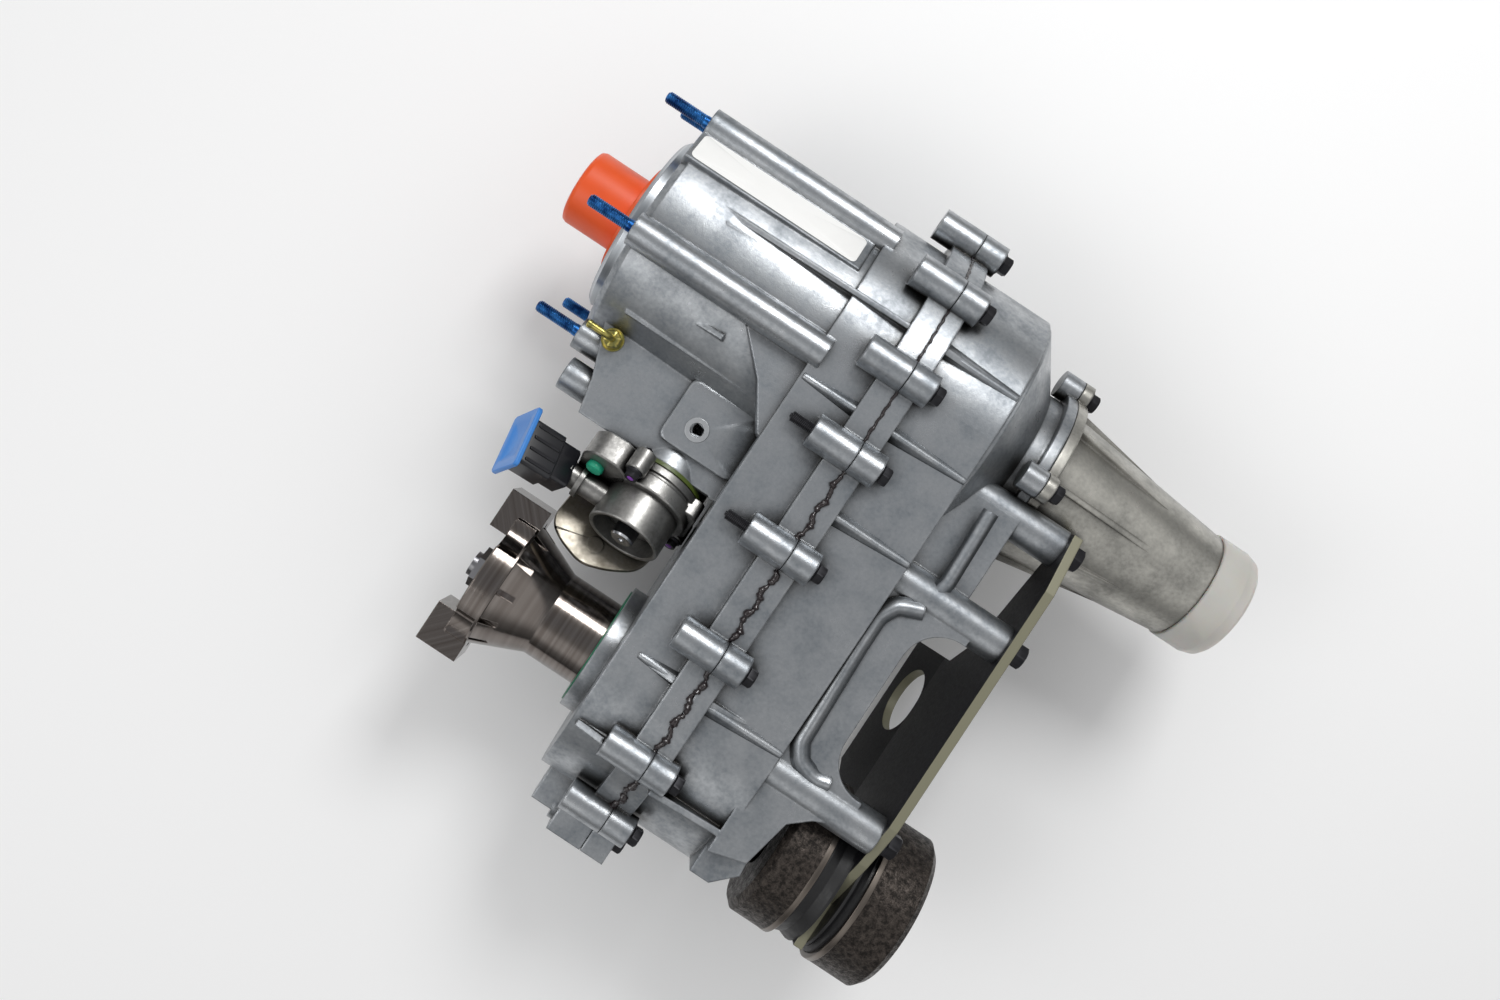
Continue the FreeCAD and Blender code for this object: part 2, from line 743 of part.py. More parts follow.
def flat_loop(label, start, thick, main_r, front_r, inner_main, inner_front, places, hole_r):
    """A flat ring that follows the case flange, with a hole at each bolt."""
    body = new_body(label)
    sketch = new_sketch(body, offset=start)
    loop(sketch, main_r, front_r)
    pad(body, sketch, thick)
    sketch = new_sketch(body, offset=as_size(start) - 1)
    loop(sketch, inner_main, inner_front)
    pocket(body, sketch, as_size(thick) + 2)
    return body


def case_sealant():
    """Bead of sealant squeezed out all round between the halves, inside the row of bolts."""
    half = s.sealant_gap / 2
    return flat_loop(
        "case_sealant", s.split_x - half, half * 2,
        s.main_end_r - 1, s.front_end_r - 1, s.main_end_r - s.case_wall, s.front_end_r - s.case_wall, BOLTS, 0,
    )


def tail_housing():
    """Cast extension with a bolted flange, eight ribs and a bore for the slip-yoke bush."""
    body = new_body("tail_housing")
    face = s.tail_face_x + s.sealant_gap
    back = face + s.tail_flange_thick
    wall = s.tail_wall
    turn(
        body,
        [
            (face, 0),
            (face, s.tail_flange_r),
            (back, s.tail_flange_r),
            (back, s.tail_root_r),
            (s.tail_end_x, s.tail_end_r),
            (s.tail_end_x, 0),
        ],
    )
    rib = [(back - 1, 40), (back - 1, s.tail_root_r + 6), (s.tail_end_x - 46, s.tail_end_r + 5), (s.tail_end_x - 40, 40)]
    sketch = new_sketch(body, "XY_Plane")
    outline(sketch, rib)
    around(body, pad(body, sketch, s.rib_width - 1, both_ways=True), 8)
    bars(body, face, back, TAIL_BOLTS, s.tail_lug_r)
    seal_step = s.tail_end_x - 12
    wide = s.rear_bearing_r + 2
    middle = s.tail_end_x - 74
    turn(
        body,
        [
            (face - 1, 0),
            (face - 1, wide),
            (middle, wide),
            (middle, s.tail_bore_r),
            (seal_step, s.tail_bore_r),
            (seal_step, s.tail_bore_r + 1),
            (s.tail_end_x + 1, s.tail_bore_r + 1),
            (s.tail_end_x + 1, 0),
        ],
        cut=True,
    )
    holes(body, face - 1, back + 1, TAIL_BOLTS, s.bolt_r + 0.3)
    hole(body, face - 1, s.arm_end_x + 2, -s.arm_upper_y, s.arm_upper_z, s.arm_r + 0.6)
    return body


def ring(label, start, width, inner, outer, y=0, z=0):
    """A plain turned ring."""
    body = new_body(label, y=y, z=z)
    tube(body, start, as_size(start) + width, inner, outer)
    return body


def bearing(label, start, width, inner, outer, y=0):
    """Sealed bearing: an outer ring that carries the shield, and an inner ring."""
    body = new_body(label, y=y)
    end = as_size(start) + width
    inner = as_size(inner)
    outer = as_size(outer)
    low = inner + (outer - inner) * 0.32
    high = inner + (outer - inner) * 0.68
    turn(
        body,
        [(start, high), (as_size(start) + 1, high), (as_size(start) + 1, low + s.run_gap), (end - 1, low + s.run_gap),
         (end - 1, high), (end, high), (end, outer), (start, outer)],
    )
    tube(body, start, end, inner, low)
    return body


def front_retainer():
    """Turned front bearing retainer; its rim is the pilot that centres the case on the transmission."""
    body = new_body("front_retainer")
    front = -s.pilot_reach
    turn(
        body,
        [
            (front, s.plug_flange_r - 6),
            (front, s.pilot_r - s.pilot_chamfer),
            (front + s.pilot_chamfer, s.pilot_r),
            (0, s.pilot_r),
            (0, s.pilot_bore_r - s.seat_gap),
            (s.input_bearing_x, s.pilot_bore_r - s.seat_gap),
            (s.input_bearing_x, s.input_seal_r + s.seat_gap),
            (front + 4, s.input_seal_r + s.seat_gap),
            (front + 4, s.plug_flange_r - 6),
        ],
    )
    return body


def input_shipping_plug():
    """Moulded transport plug: a closed cup with a flange that rests on the retainer."""
    body = new_body("input_shipping_plug")
    front = -s.plug_end_x
    seat = -s.pilot_reach
    wall = s.plug_wall
    turn(
        body,
        [
            (front, 0),
            (front, s.plug_r - 4),
            (front + 1.2, s.plug_r - 1.2),
            (front + 4, s.plug_r),
            (seat - 6, s.plug_r),
            (seat - 6, s.plug_flange_r),
            (seat, s.plug_flange_r),
            (seat, s.plug_flange_r - 6 - s.seat_gap),
            (seat + 3.5, s.plug_flange_r - 6 - s.seat_gap),
            (seat + 3.5, s.plug_r - wall),
            (front + wall, s.plug_r - wall),
            (front + wall, 0),
        ],
    )
    return body


def output_shipping_cap():
    """Translucent transport cap pressed into the tail housing's seal."""
    body = new_body("output_shipping_cap")
    seat = s.tail_end_x
    end = s.cap_end_x
    wall = s.cap_wall
    spigot = s.output_seal_inner - s.seat_gap
    turn(
        body,
        [
            (seat - 8, spigot - wall),
            (seat - 8, spigot),
            (seat, spigot),
            (seat, s.cap_r),
            (end - 12, s.cap_r),
            (end - 4, s.cap_r - 2.5),
            (end - 1, s.cap_r - 6),
            (end, s.cap_r - 11),
            (end, 0),
            (end - wall, 0),
            (end - wall, s.cap_r - 11),
            (end - 12, s.cap_r - wall),
            (seat + wall, s.cap_r - wall),
            (seat + wall, spigot - wall),
        ],
    )
    return body


def round_tool(label, radius, low, high):
    """A plain cylinder along Z."""
    cylinder = document.addObject("Part::Cylinder", label + "_bar")
    bind(cylinder, "Radius", radius)
    bind(cylinder, "Height", as_size(high) - low)
    bind(cylinder, ".Placement.Base.z", low)
    return cylinder


def hexagon_tool(label, flat, low, high):
    """A hexagonal bar along Z, by the width across its flats."""
    prism = document.addObject("Part::Prism", label + "_hexagon")
    prism.Polygon = 6
    bind(prism, "Circumradius", as_size(flat) / 2 / cosine(30))
    bind(prism, "Height", as_size(high) - low)
    bind(prism, ".Placement.Base.z", low)
    return prism


def fused(label, pieces):
    """One solid from several."""
    union = document.addObject("Part::MultiFuse", label)
    union.Shapes = pieces
    union.Label = label
    return union


def bolt(label, radius, length, flat, head):
    """A hexagon bolt whose head stands on z = 0 and whose shank points down."""
    shank = round_tool(label, radius, -as_size(length), 1)
    return fused(label, [shank, hexagon_tool(label, flat, 0, head)])


def copies(label, source, places, turned=90):
    """The same piece at several places (x, y, z), turned about Y so that its head points to the rear."""
    links = []
    for x, y, z in places:
        link = document.addObject("App::Link", label + "_place")
        link.LinkedObject = source
        link.Placement = FreeCAD.Placement(
            FreeCAD.Vector(0, 0, 0), FreeCAD.Rotation(FreeCAD.Vector(0, 1, 0), turned)
        )
        bind(link, ".Placement.Base.x", x)
        bind(link, ".Placement.Base.y", y)
        bind(link, ".Placement.Base.z", z)
        links.append(link)
    group = document.addObject("Part::Compound", label)
    group.Links = links
    group.Label = label
    return group


def front_studs():
    """Six plated studs screwed into the front face by their thinner ends."""
    stud = fused(
        "stud",
        [
            round_tool("stud_free", s.stud_r, -s.stud_reach, 0),
            round_tool("stud_held", s.stud_held_r, -1, s.stud_depth),
        ],
    )
    places = []
    for k in range(SIZES["stud_count"]):
        angle = s.stud_first_angle + as_size(360) / s.stud_count * k
        places.append((0, s.stud_circle_r * sine(-angle), s.stud_circle_r * cosine(angle)))
    return copies("front_studs", stud, places)


def case_bolts():
    """Short bolts from the rear."""
    short = bolt("case_bolt", s.bolt_r, s.bolt_boss_rear_x - s.bolt_boss_front_x - 6, s.bolt_flat, 9.5)
    places = [(s.bolt_boss_rear_x, *place) for i, place in enumerate(BOLTS) if i not in LONG_BOLTS]
    return copies("case_bolts", short, places)


def case_long_bolts():
    """Long bolts whose threads stand out at the front for clips."""
    reach = s.bolt_boss_rear_x - s.bolt_boss_front_x + 18
    long_one = bolt("case_long_bolt", s.bolt_r, reach, s.bolt_flat, 9.5)
    places = [(s.bolt_boss_rear_x, *BOLTS[i]) for i in LONG_BOLTS]
    return copies("case_long_bolts", long_one, places)


def tail_bolts():
    """Four bolts through the tail housing's flange."""
    length = s.tail_flange_thick * 2 + 6
    one = bolt("tail_bolt", s.bolt_r, length, s.bolt_flat, 9.5)
    seat = s.tail_face_x + s.sealant_gap + s.tail_flange_thick
    return copies("tail_bolts", one, [(seat, *place) for place in TAIL_BOLTS])


def bracket_bolts():
    """Three bolts that hold the damper bracket to the arms."""
    one = bolt("bracket_bolt", s.bracket_bolt_r, s.plate_thick + 22, s.bracket_bolt_flat, 9)
    seat = s.arm_end_x + s.plate_thick
    return copies("bracket_bolts", one, [(seat, *place) for place in ARMS])


def damper_bracket():
    """Steel plate across the three arms; its far part is bent forwards and holed, its lower end holds the damper."""
    body = new_body("damper_bracket")
    front = s.arm_end_x
    back = front + s.plate_thick
    shift = s.plate_shift
    bend_z = -s.plate_bend_z
    low = -s.plate_low
    sketch = new_sketch(body, "XZ_Plane", 24)
    outline(sketch, [(front, s.plate_top), (back, s.plate_top), (back, bend_z), (back - shift, low), (front - shift, low), (front, bend_z)])
    end = s.damper_y + 51
    pad(body, sketch, end - 24)
    start = front - 30
    length = s.plate_thick + 60
    corner = [(-20, 78), (-72, s.plate_top + 1), (-20, s.plate_top + 1)]
    notch = [(-20, 59), (-32, 57), (-52, 45), (-100, 24), (-130, 4), (-148, -24), (-150, -112), (-158, -125), (-20, -125)]
    lower_arm = -s.arm_lower_y
    shoulder = [(lower_arm + 15, s.plate_top + 1), (lower_arm - 22, 82), (lower_arm - 54, 62), (lower_arm - 62, 56), (-end - 1, 56), (-end - 1, s.plate_top + 1)]
    tongue = [(-end - 1, -14), (-end + 20, -34), (lower_arm - 20, -70), (lower_arm + 10, -113), (lower_arm + 10, -125), (-end - 1, -125)]
    for cut in (corner, notch, shoulder, tongue):
        sketch = new_sketch(body, offset=start)
        outline(sketch, cut)
        pocket(body, sketch, length)
    sketch = new_sketch(body, offset=start)
    circle(sketch, -196, -68, 28)
    for across, up in ARMS:
        circle(sketch, across, up, s.bracket_bolt_r + 0.4)
    circle(sketch, -s.damper_y, s.damper_z, s.damper_bolt_r + 0.3)
    pocket(body, sketch, length)
    return body


def drum(label, start, width, open_front):
    """Cast-iron damper ring with turned edges and a recess for the bolt."""
    body = new_body(label, y=-s.damper_y, z=s.damper_z)
    start = as_size(start)
    end = start + width
    r = s.damper_r
    bore = s.damper_bolt_r + 0.3
    edge = 5
    recess = 8
    if open_front:
        profile = [(start, 26), (start, r - edge), (start + edge, r), (end - 2, r), (end, r - 2), (end, bore),
                   (start + recess, bore), (start + recess, 26)]
    else:
        profile = [(start, bore), (start, r - 2), (start + 2, r), (end - edge, r), (end, r - edge), (end, 26),
                   (end - recess, 26), (end - recess, bore)]
    turn(body, profile)
    return body


def damper_parts():
    """Two iron drums on rubber, bolted through the lower end of the bracket."""
    front_plate = s.arm_end_x
    back_plate = front_plate + s.plate_thick
    front_start = front_plate - s.rubber_front_thick - s.damper_front_thick
    y = -s.damper_y
    z = s.damper_z
    bore = s.damper_bolt_r + 0.3
    rubber_r = s.damper_r - 4
    made = [
        drum("damper_front_weight", front_start, s.damper_front_thick, True),
        drum("damper_rear_weight", back_plate + s.rubber_rear_thick, s.damper_rear_thick, False),
    ]
    for label, start, width in (
        ("damper_front_rubber", front_plate - s.rubber_front_thick, s.rubber_front_thick),
        ("damper_rear_rubber", back_plate, s.rubber_rear_thick),
    ):
        body = new_body(label, y=y, z=z)
        end = start + width
        turn(body, [(start, bore), (start, rubber_r), (start + 2, rubber_r), (start + width / 2, rubber_r - 2.5),
                    (end - 2, rubber_r), (end, rubber_r), (end, bore)])
        made.append(body)
    body = new_body("damper_bolt", y=y, z=z)
    head = front_start + 8
    tail = back_plate + s.rubber_rear_thick + s.damper_rear_thick - 8
    sketch = new_sketch(body, offset=head - 8)
    hexagon(sketch, 0, 0, 19)
    pad(body, sketch, 8)
    bar(body, head - 1, tail + 12, 0, 0, s.damper_bolt_r)
    sketch = new_sketch(body, offset=tail)
    hexagon(sketch, 0, 0, 19)
    pad(body, sketch, 10)
    made.append(body)
    return made


def hexagon(sketch, across, up, flat):
    """A hexagon by the width across its flats."""
    corner = as_size(flat) / 2 / cosine(30)
    outline(sketch, [(across + corner * cosine(60 * k), up + corner * sine(60 * k)) for k in range(6)])


def gear_teeth(body, start, width, teeth, root_r, tip_r, outside=True):
    """Straight-flanked teeth that stay inside the true involute form, repeated about the axis."""
    module = s.gear_module
    pitch_r = module * teeth / 2
    at_pitch = module * math.pi / 2 - s.tooth_backlash
    slope = math.tan(math.radians(20)) * 2
    sign = 1 if outside else -1
    at_root = at_pitch + (pitch_r - root_r) * slope * sign
    at_tip = at_pitch - (tip_r - pitch_r) * slope * sign
    bite = 0.8 * sign
    sketch = new_sketch(body, offset=start)
    outline(
        sketch,
        [
            (root_r - bite, -at_root / 2),
            (root_r, -at_root / 2),
            (tip_r, -at_tip / 2),
            (tip_r, at_tip / 2),
            (root_r, at_root / 2),
            (root_r - bite, at_root / 2),
        ],
    )
    return around(body, pad(body, sketch, width), teeth)


def input_gear():
    """Hollow input shaft with the sun gear behind its bearing journal."""
    body = new_body("input_gear")
    root = s.gear_module * s.sun_teeth / 2 - s.gear_module * 1.25
    tip = s.gear_module * s.sun_teeth / 2 + s.gear_module
    end = s.gear_x + s.gear_width
    turn(
        body,
        [
            (-6, 17),
            (-6, s.input_journal_r - 2),
            (s.input_bearing_x, s.input_journal_r - 2),
            (s.input_bearing_x, s.input_journal_r - s.run_gap),
            (s.input_bearing_x + s.input_bearing_width, s.input_journal_r - s.run_gap),
            (s.input_bearing_x + s.input_bearing_width, 35),
            (s.gear_x, 35),
            (s.gear_x, root),
            (end, root),
            (end, 27),
            (end - 8, 27),
            (end - 8, s.pilot_journal_r + 0.3),
            (48, s.pilot_journal_r + 0.3),
            (46, 17),
        ],
    )
    gear_teeth(body, s.gear_x, s.gear_width, s.sun_teeth, root, tip)
    return body


def annulus_gear():
    """Internal ring gear pressed into the front case."""
    body = new_body("annulus_gear")
    pitch_r = s.gear_module * s.annulus_teeth / 2
    root = pitch_r + s.gear_module * 1.25
    tip = pitch_r - s.gear_module
    tube(body, s.gear_x, s.gear_x + s.gear_width + 1, root, s.housing_inner_r - s.seat_gap)
    gear_teeth(body, s.gear_x, s.gear_width + 1, s.annulus_teeth, root, tip, outside=False)
    return body


def planet_angle(k):
    """Angle of a planet from +Y; all three mesh with both gears there."""
    return as_size(360) / s.planet_count * k


def planet_gear(k):
    """One planet gear on its pin."""
    radius = s.gear_module * (s.sun_teeth + s.planet_teeth) / 2
    angle = planet_angle(k)
    body = new_body(f"planet_gear_{k + 1}", y=radius * cosine(angle), z=radius * sine(angle))
    pitch_r = s.gear_module * s.planet_teeth / 2
    root = pitch_r - s.gear_module * 1.25
    tip = pitch_r + s.gear_module
    start = s.gear_x + 2
    tube(body, start, start + s.gear_width - 4, s.planet_pin_r + s.run_gap, root)
    gear_teeth(body, start, s.gear_width - 4, s.planet_teeth, root, tip)
    phase = as_size(180) / s.planet_teeth
    body.Placement = FreeCAD.Placement(FreeCAD.Vector(0, 0, 0), FreeCAD.Rotation(FreeCAD.Vector(1, 0, 0), phase.value))
    bind(body, ".Placement.Rotation.Angle", phase)
    bind(body, ".Placement.Base.y", radius * cosine(angle))
    bind(body, ".Placement.Base.z", radius * sine(angle))
    return body


def planet_carrier():
    """Two plates tied by three posts and by the riveted pins on which the planets turn."""
    body = new_body("planet_carrier")
    front = s.gear_x - s.carrier_plate - 2
    rear = s.gear_x + s.gear_width + 3
    tube(body, front, front + s.carrier_plate, 46, s.carrier_r)
    tube(body, rear, rear + s.carrier_plate, 27.5, s.carrier_r)
    radius = s.gear_module * (s.sun_teeth + s.planet_teeth) / 2
    post = bar(body, front + 2, rear + 2, radius * cosine(60), radius * sine(60), 6.5)
    around(body, post, s.planet_count)
    around(body, bar(body, front + 2, rear + 2, radius, 0, s.planet_pin_r), s.planet_count)
    return body


def sprocket(label, y, start, bore):
    """Sprocket for the tooth-form chain."""
    body = new_body(label, y=y)
    pitch_r = sprocket_pitch_r()
    tube(body, start, as_size(start) + s.chain_width, bore, pitch_r - 5.5)
    tip = pitch_r - 0.6
    root = pitch_r - 5.5
    sketch = new_sketch(body, offset=start)
    outline(sketch, [(-3.0, root - 1), (-3.0, root), (-1.2, tip), (1.2, tip), (3.0, root), (3.0, root - 1)])
    around(body, pad(body, sketch, s.chain_width), s.sprocket_teeth)
    return body


def sprocket_pitch_r():
    """Radius on which the chain's joints lie."""
    return s.chain_pitch / 2 / sine(as_size(180) / s.sprocket_teeth)


def chain():
    """Tooth-form chain round both sprockets, with a groove between its plates at every joint."""
    body = new_body("chain")
    inner = sprocket_pitch_r()
    outer = inner + s.chain_depth
    sketch = new_sketch(body, offset=s.chain_x)
    loop(sketch, outer, outer)
    pad(body, sketch, s.chain_width)
    sketch = new_sketch(body, offset=s.chain_x - 1)
    loop(sketch, inner, inner)
    pocket(body, sketch, s.chain_width + 2)
    return body


def mainshaft():
    """Main shaft from its pilot in the input gear to the splined tail."""
    body = new_body("mainshaft")
    gap = s.run_gap
    turn(
        body,
        [
            (52, 0),
            (52, s.pilot_journal_r),
            (84, s.pilot_journal_r),
            (84, s.mainshaft_r),
            (s.chain_x - 3, s.mainshaft_r),
            (s.chain_x - 3, s.sprocket_journal_r + 6),
            (s.chain_x - s.side_gap, s.sprocket_journal_r + 6),
            (s.chain_x - s.side_gap, s.sprocket_journal_r - gap),
            (s.chain_x + s.chain_width + 4, s.sprocket_journal_r - gap),
            (s.chain_x + s.chain_width + 4, s.sprocket_journal_r - 2),
            (s.rear_bearing_x - 4, s.sprocket_journal_r - 2),
            (s.rear_bearing_x - 4, s.rear_journal_r + 5),
            (s.rear_bearing_x, s.rear_journal_r + 5),
            (s.rear_bearing_x, s.rear_journal_r - gap),
            (s.rear_bearing_x + 60, s.rear_journal_r - gap),
            (s.rear_bearing_x + 64, s.mainshaft_r - 1),
            (s.mainshaft_end_x - 2, s.mainshaft_r - 1),
            (s.mainshaft_end_x, s.mainshaft_r - 3),
            (s.mainshaft_end_x, 0),
        ],
    )
    return body


def slide_hub(label, start, bore, nose):
    """Splined sliding hub with a groove for its fork; its nose carries the clutch teeth."""
    body = new_body(label)
    start = as_size(start)
    end = start + s.hub_width
    lip = 4
    front = [(start - nose, bore), (start - nose, 25), (start, 25)] if nose else [(start, bore)]
    turn(
        body,
        front
        + [
            (start, s.hub_slide_r),
            (start + lip, s.hub_slide_r),
            (start + lip, s.hub_groove_r),
            (end - lip, s.hub_groove_r),
            (end - lip, s.hub_slide_r),
            (end, s.hub_slide_r),
            (end, bore),
        ],
    )
    return body


def shift_fork(label, hub_start):
    """Forked arm from the shift rail to a hub's groove."""
    centre = as_size(hub_start) + s.hub_width / 2
    start = centre - s.fork_thick / 2
    body = new_body(label)
    rim = s.hub_groove_r + 12
    bar(body, start, start + s.fork_thick, 0, 0, rim)
    arm = [(-20, -16), (-s.rail_y, s.rail_z - 13), (-s.rail_y + 2, s.rail_z + 12), (-20, 34)]
    sketch = new_sketch(body, offset=start)
    outline(sketch, arm)
    pad(body, sketch, s.fork_thick)
    bar(body, start - 9, start + s.fork_thick + 9, -s.rail_y, s.rail_z, s.fork_boss_r)
    hole(body, start - 1, start + s.fork_thick + 1, 0, 0, s.hub_groove_r + 0.5)
    sketch = new_sketch(body, offset=start - 1)
    outline(sketch, rectangle(4, rim + 2, -rim - 2, rim + 2))
    pocket(body, sketch, s.fork_thick + 2)
    hole(body, start - 10, start + s.fork_thick + 10, -s.rail_y, s.rail_z, s.rail_r + s.run_gap)
    return body


def front_output_shaft():
    """Front output shaft: flange spline, two journals and the driven sprocket's seat."""
    body = new_body("front_output_shaft", y=-s.centre_distance)
    gap = s.run_gap
    turn(
        body,
        [
            (25, 0),
            (25, 10),
            (43, 10),
            (43, s.front_shaft_r - 2),
            (s.flange_neck_x + 14, s.front_shaft_r - 2),
            (s.flange_neck_x + 14, s.front_shaft_r - gap),
            (s.chain_x, s.front_shaft_r - gap),
            (s.chain_x, s.sprocket_journal_r),
            (s.chain_x + s.chain_width, s.sprocket_journal_r),
            (s.chain_x + s.chain_width, s.sprocket_journal_r + 5),
            (s.chain_x + s.chain_width + 6, s.sprocket_journal_r + 5),
            (s.chain_x + s.chain_width + 6, s.front_shaft_r),
            (s.needle_x - 3, s.front_shaft_r),
            (s.needle_x - 3, s.needle_journal_r - gap),
            (s.needle_x + s.needle_width - 1, s.needle_journal_r - gap),
            (s.needle_x + s.needle_width - 1, 0),
        ],
    )
    return body


def front_output_flange():
    """Machined steel flange: two ears, two lower pads, a waisted rim with grooves and a long neck."""
    body = new_body("front_output_flange", y=-s.centre_distance)
    bore = s.front_shaft_r - 2 + s.seat_gap
    turn(
        body,
        [
            (42, bore),
            (42, 24),
            (s.flange_pad_x, 26),
            (s.flange_pad_x, s.flange_rim_r - 1),
            (s.flange_pad_x + 1, s.flange_rim_r),
            (s.flange_rim_x, s.flange_rim_r),
            (s.flange_rim_x, s.flange_rim_r - 4),
            (s.flange_cone_x, s.flange_neck_r),
            (s.flange_neck_x + 14, s.flange_neck_r),
            (s.flange_neck_x + 14, bore),
        ],
    )
    face = s.flange_face_x
    ear = rectangle(34, s.flange_ear_r, -24, 24)
    sketch = new_sketch(body, offset=face)
    outline(sketch, ear)
    around(body, pad(body, sketch, s.flange_rim_x - face), 2)
    # waists between the ears and the pads
    sketch = new_sketch(body, offset=face - 1)
    circle(sketch, 46, 46, 20)
    around(body, pocket(body, sketch, s.flange_rim_x - face - 1), 4)
    sketch = new_sketch(body, offset=face - 1)
    circle(sketch, s.flange_bolt_circle_r + 3, 0, s.flange_bolt_r)
    around(body, pocket(body, sketch, s.flange_rim_x - face + 2), 2)
    sketch = new_sketch(body, offset=s.flange_rim_x)
    outline(sketch, rectangle(-2.5, 2.5, s.flange_rim_r - 10, s.flange_rim_r + 2))
    around(body, pocket(body, sketch, 27), 12)
    return body


def flange_nut():
    """Nut and washer on the front output shaft's thread."""
    body = new_body("flange_nut", y=-s.centre_distance)
    tube(body, 38.5, 42, 10 + s.seat_gap, 17)
    sketch = new_sketch(body, offset=29)
    hexagon(sketch, 0, 0, 29)
    circle(sketch, 0, 0, 10 + s.seat_gap)
    pad(body, sketch, 10)
    return body


def actuator_piece(label):
    """An empty body whose own +Z axis points out along the sector shaft from its mounting face."""
    body = document.addObject("PartDesign::Body", label)
    body.Label = label
    body.AllowCompound = True
    tilt = as_size(90) - s.actuator_tilt
    body.Placement = FreeCAD.Placement(FreeCAD.Vector(0, 0, 0), FreeCAD.Rotation(FreeCAD.Vector(1, 0, 0), tilt.value))
    bind(body, ".Placement.Rotation.Angle", tilt)
    bind(body, ".Placement.Base.x", s.actuator_x)
    bind(body, ".Placement.Base.y", -s.actuator_y)
    bind(body, ".Placement.Base.z", s.actuator_z)
    return body


def post(body, low, high, across, up, radius):
    """A round post along the body's own Z."""
    sketch = new_sketch(body, "XY_Plane", low)
    circle(sketch, across, up, radius)
    return pad(body, sketch, as_size(high) - low)


def well(body, low, high, across, up, radius):
    """A round hole along the body's own Z."""
    sketch = new_sketch(body, "XY_Plane", low)
    circle(sketch, across, up, radius)
    return pocket(body, sketch, as_size(high) - low)


EARS = [(-18, 38), (32, -30), (-40, -18)]


def actuator_parts():
    """Electric shift actuator: cast gearbox, motor can, cover, seal, connector and its plugs."""
    base = 3
    deep = s.actuator_depth
    made = []
    body = actuator_piece("actuator_gearbox")
    post(body, base, deep - 8, 0, 0, s.actuator_r)
    for across, up in EARS:
        post(body, base, 20, across, up, 8)
    slab(body, [(-46, -22), (-46, 30), (-18, 30), (10, 20), (10, -22)], base, 20)
    slab(body, [(20, -26), (38, -26), (38, 24), (20, 24)], base, 18)
    sketch = new_sketch(body, "YZ_Plane", -62)
    circle(sketch, -4, 31, 10)
    pad(body, sketch, 40)
    well(body, 16, deep + 1, 0, 0, s.actuator_r - s.actuator_wall)
    well(body, base - 1, deep + 1, 0, 0, s.sector_shaft_r + 0.5)
    for across, up in EARS:
        well(body, base - 1, 21, across, up, 3.1)
    made.append(body)

    body = actuator_piece("actuator_cover")
    cover = [(-46, -28), (-30, -46), (22, -46), (38, -26), (38, 12), (26, 36), (-28, 36), (-46, 12)]
    slab(body, cover, deep - 8, deep)
    well(body, deep - 9, deep + 1, 0, 0, s.actuator_r - s.actuator_wall)
    made.append(body)

    body = actuator_piece("actuator_motor")
    post(body, 16, deep - 4, 0, 0, s.motor_r)
    post(body, deep - 14, deep - 11, 0, 0, s.motor_r + 1.5)
    made.append(body)

    body = actuator_piece("actuator_seal")
    post(body, 0, base, 0, 0, s.actuator_r + 2)
    well(body, -1, base + 1, 0, 0, s.actuator_r - 6)
    made.append(body)

    body = actuator_piece("sector_shaft")
    post(body, -23, 15, 0, 0, s.sector_shaft_r)
    made.append(body)

    body = actuator_piece("connector_body")
    half = s.connector_width / 2
    slab(body, rectangle(-62 - s.connector_length, -62, -half, half - 4), 16, 16 + s.connector_width)
    for level in (20, 27, 34, 41):
        slab(body, rectangle(-58 - s.connector_length, -70, half - 5, half - 3), level, level + 2)
    made.append(body)

    body = actuator_piece("connector_cap")
    face = -62 - s.connector_length
    sketch = new_sketch(body, "YZ_Plane", face - 4)
    outline(sketch, [(-half - 6, 9), (half + 2, 9), (half + 2, 53), (-half - 6, 53)])
    pad(body, sketch, 4)
    sketch = new_sketch(body, "YZ_Plane", face - 14)
    outline(sketch, [(-half, 18), (half - 4, 18), (half - 4, 44), (-half, 44)])
    pad(body, sketch, 10)
    sketch = new_sketch(body, "YZ_Plane", face - 15)
    outline(sketch, [(-half + 2, 20), (half - 6, 20), (half - 6, 42), (-half + 2, 42)])
    pocket(body, sketch, 9)
    made.append(body)

    body = actuator_piece("actuator_port_plug")
    post(body, 20, 34, -44, 16, 6)
    made.append(body)
    return made


def actuator_bolts():
    """Three screws that hold the actuator to the shift chamber."""
    body = actuator_piece("actuator_bolts")
    for across, up in EARS:
        post(body, -6, 20, across, up, 3)
    for across, up in EARS:
        sketch = new_sketch(body, "XY_Plane", 20)
        hexagon(sketch, across, up, 10)
        pad(body, sketch, 6)
    return body


def shift_rail():
    """Plain steel rail that carries both forks."""
    return ring("shift_rail", s.rail_boss_x + 10, 260, 0.001, s.rail_r, y=-s.rail_y, z=s.rail_z)


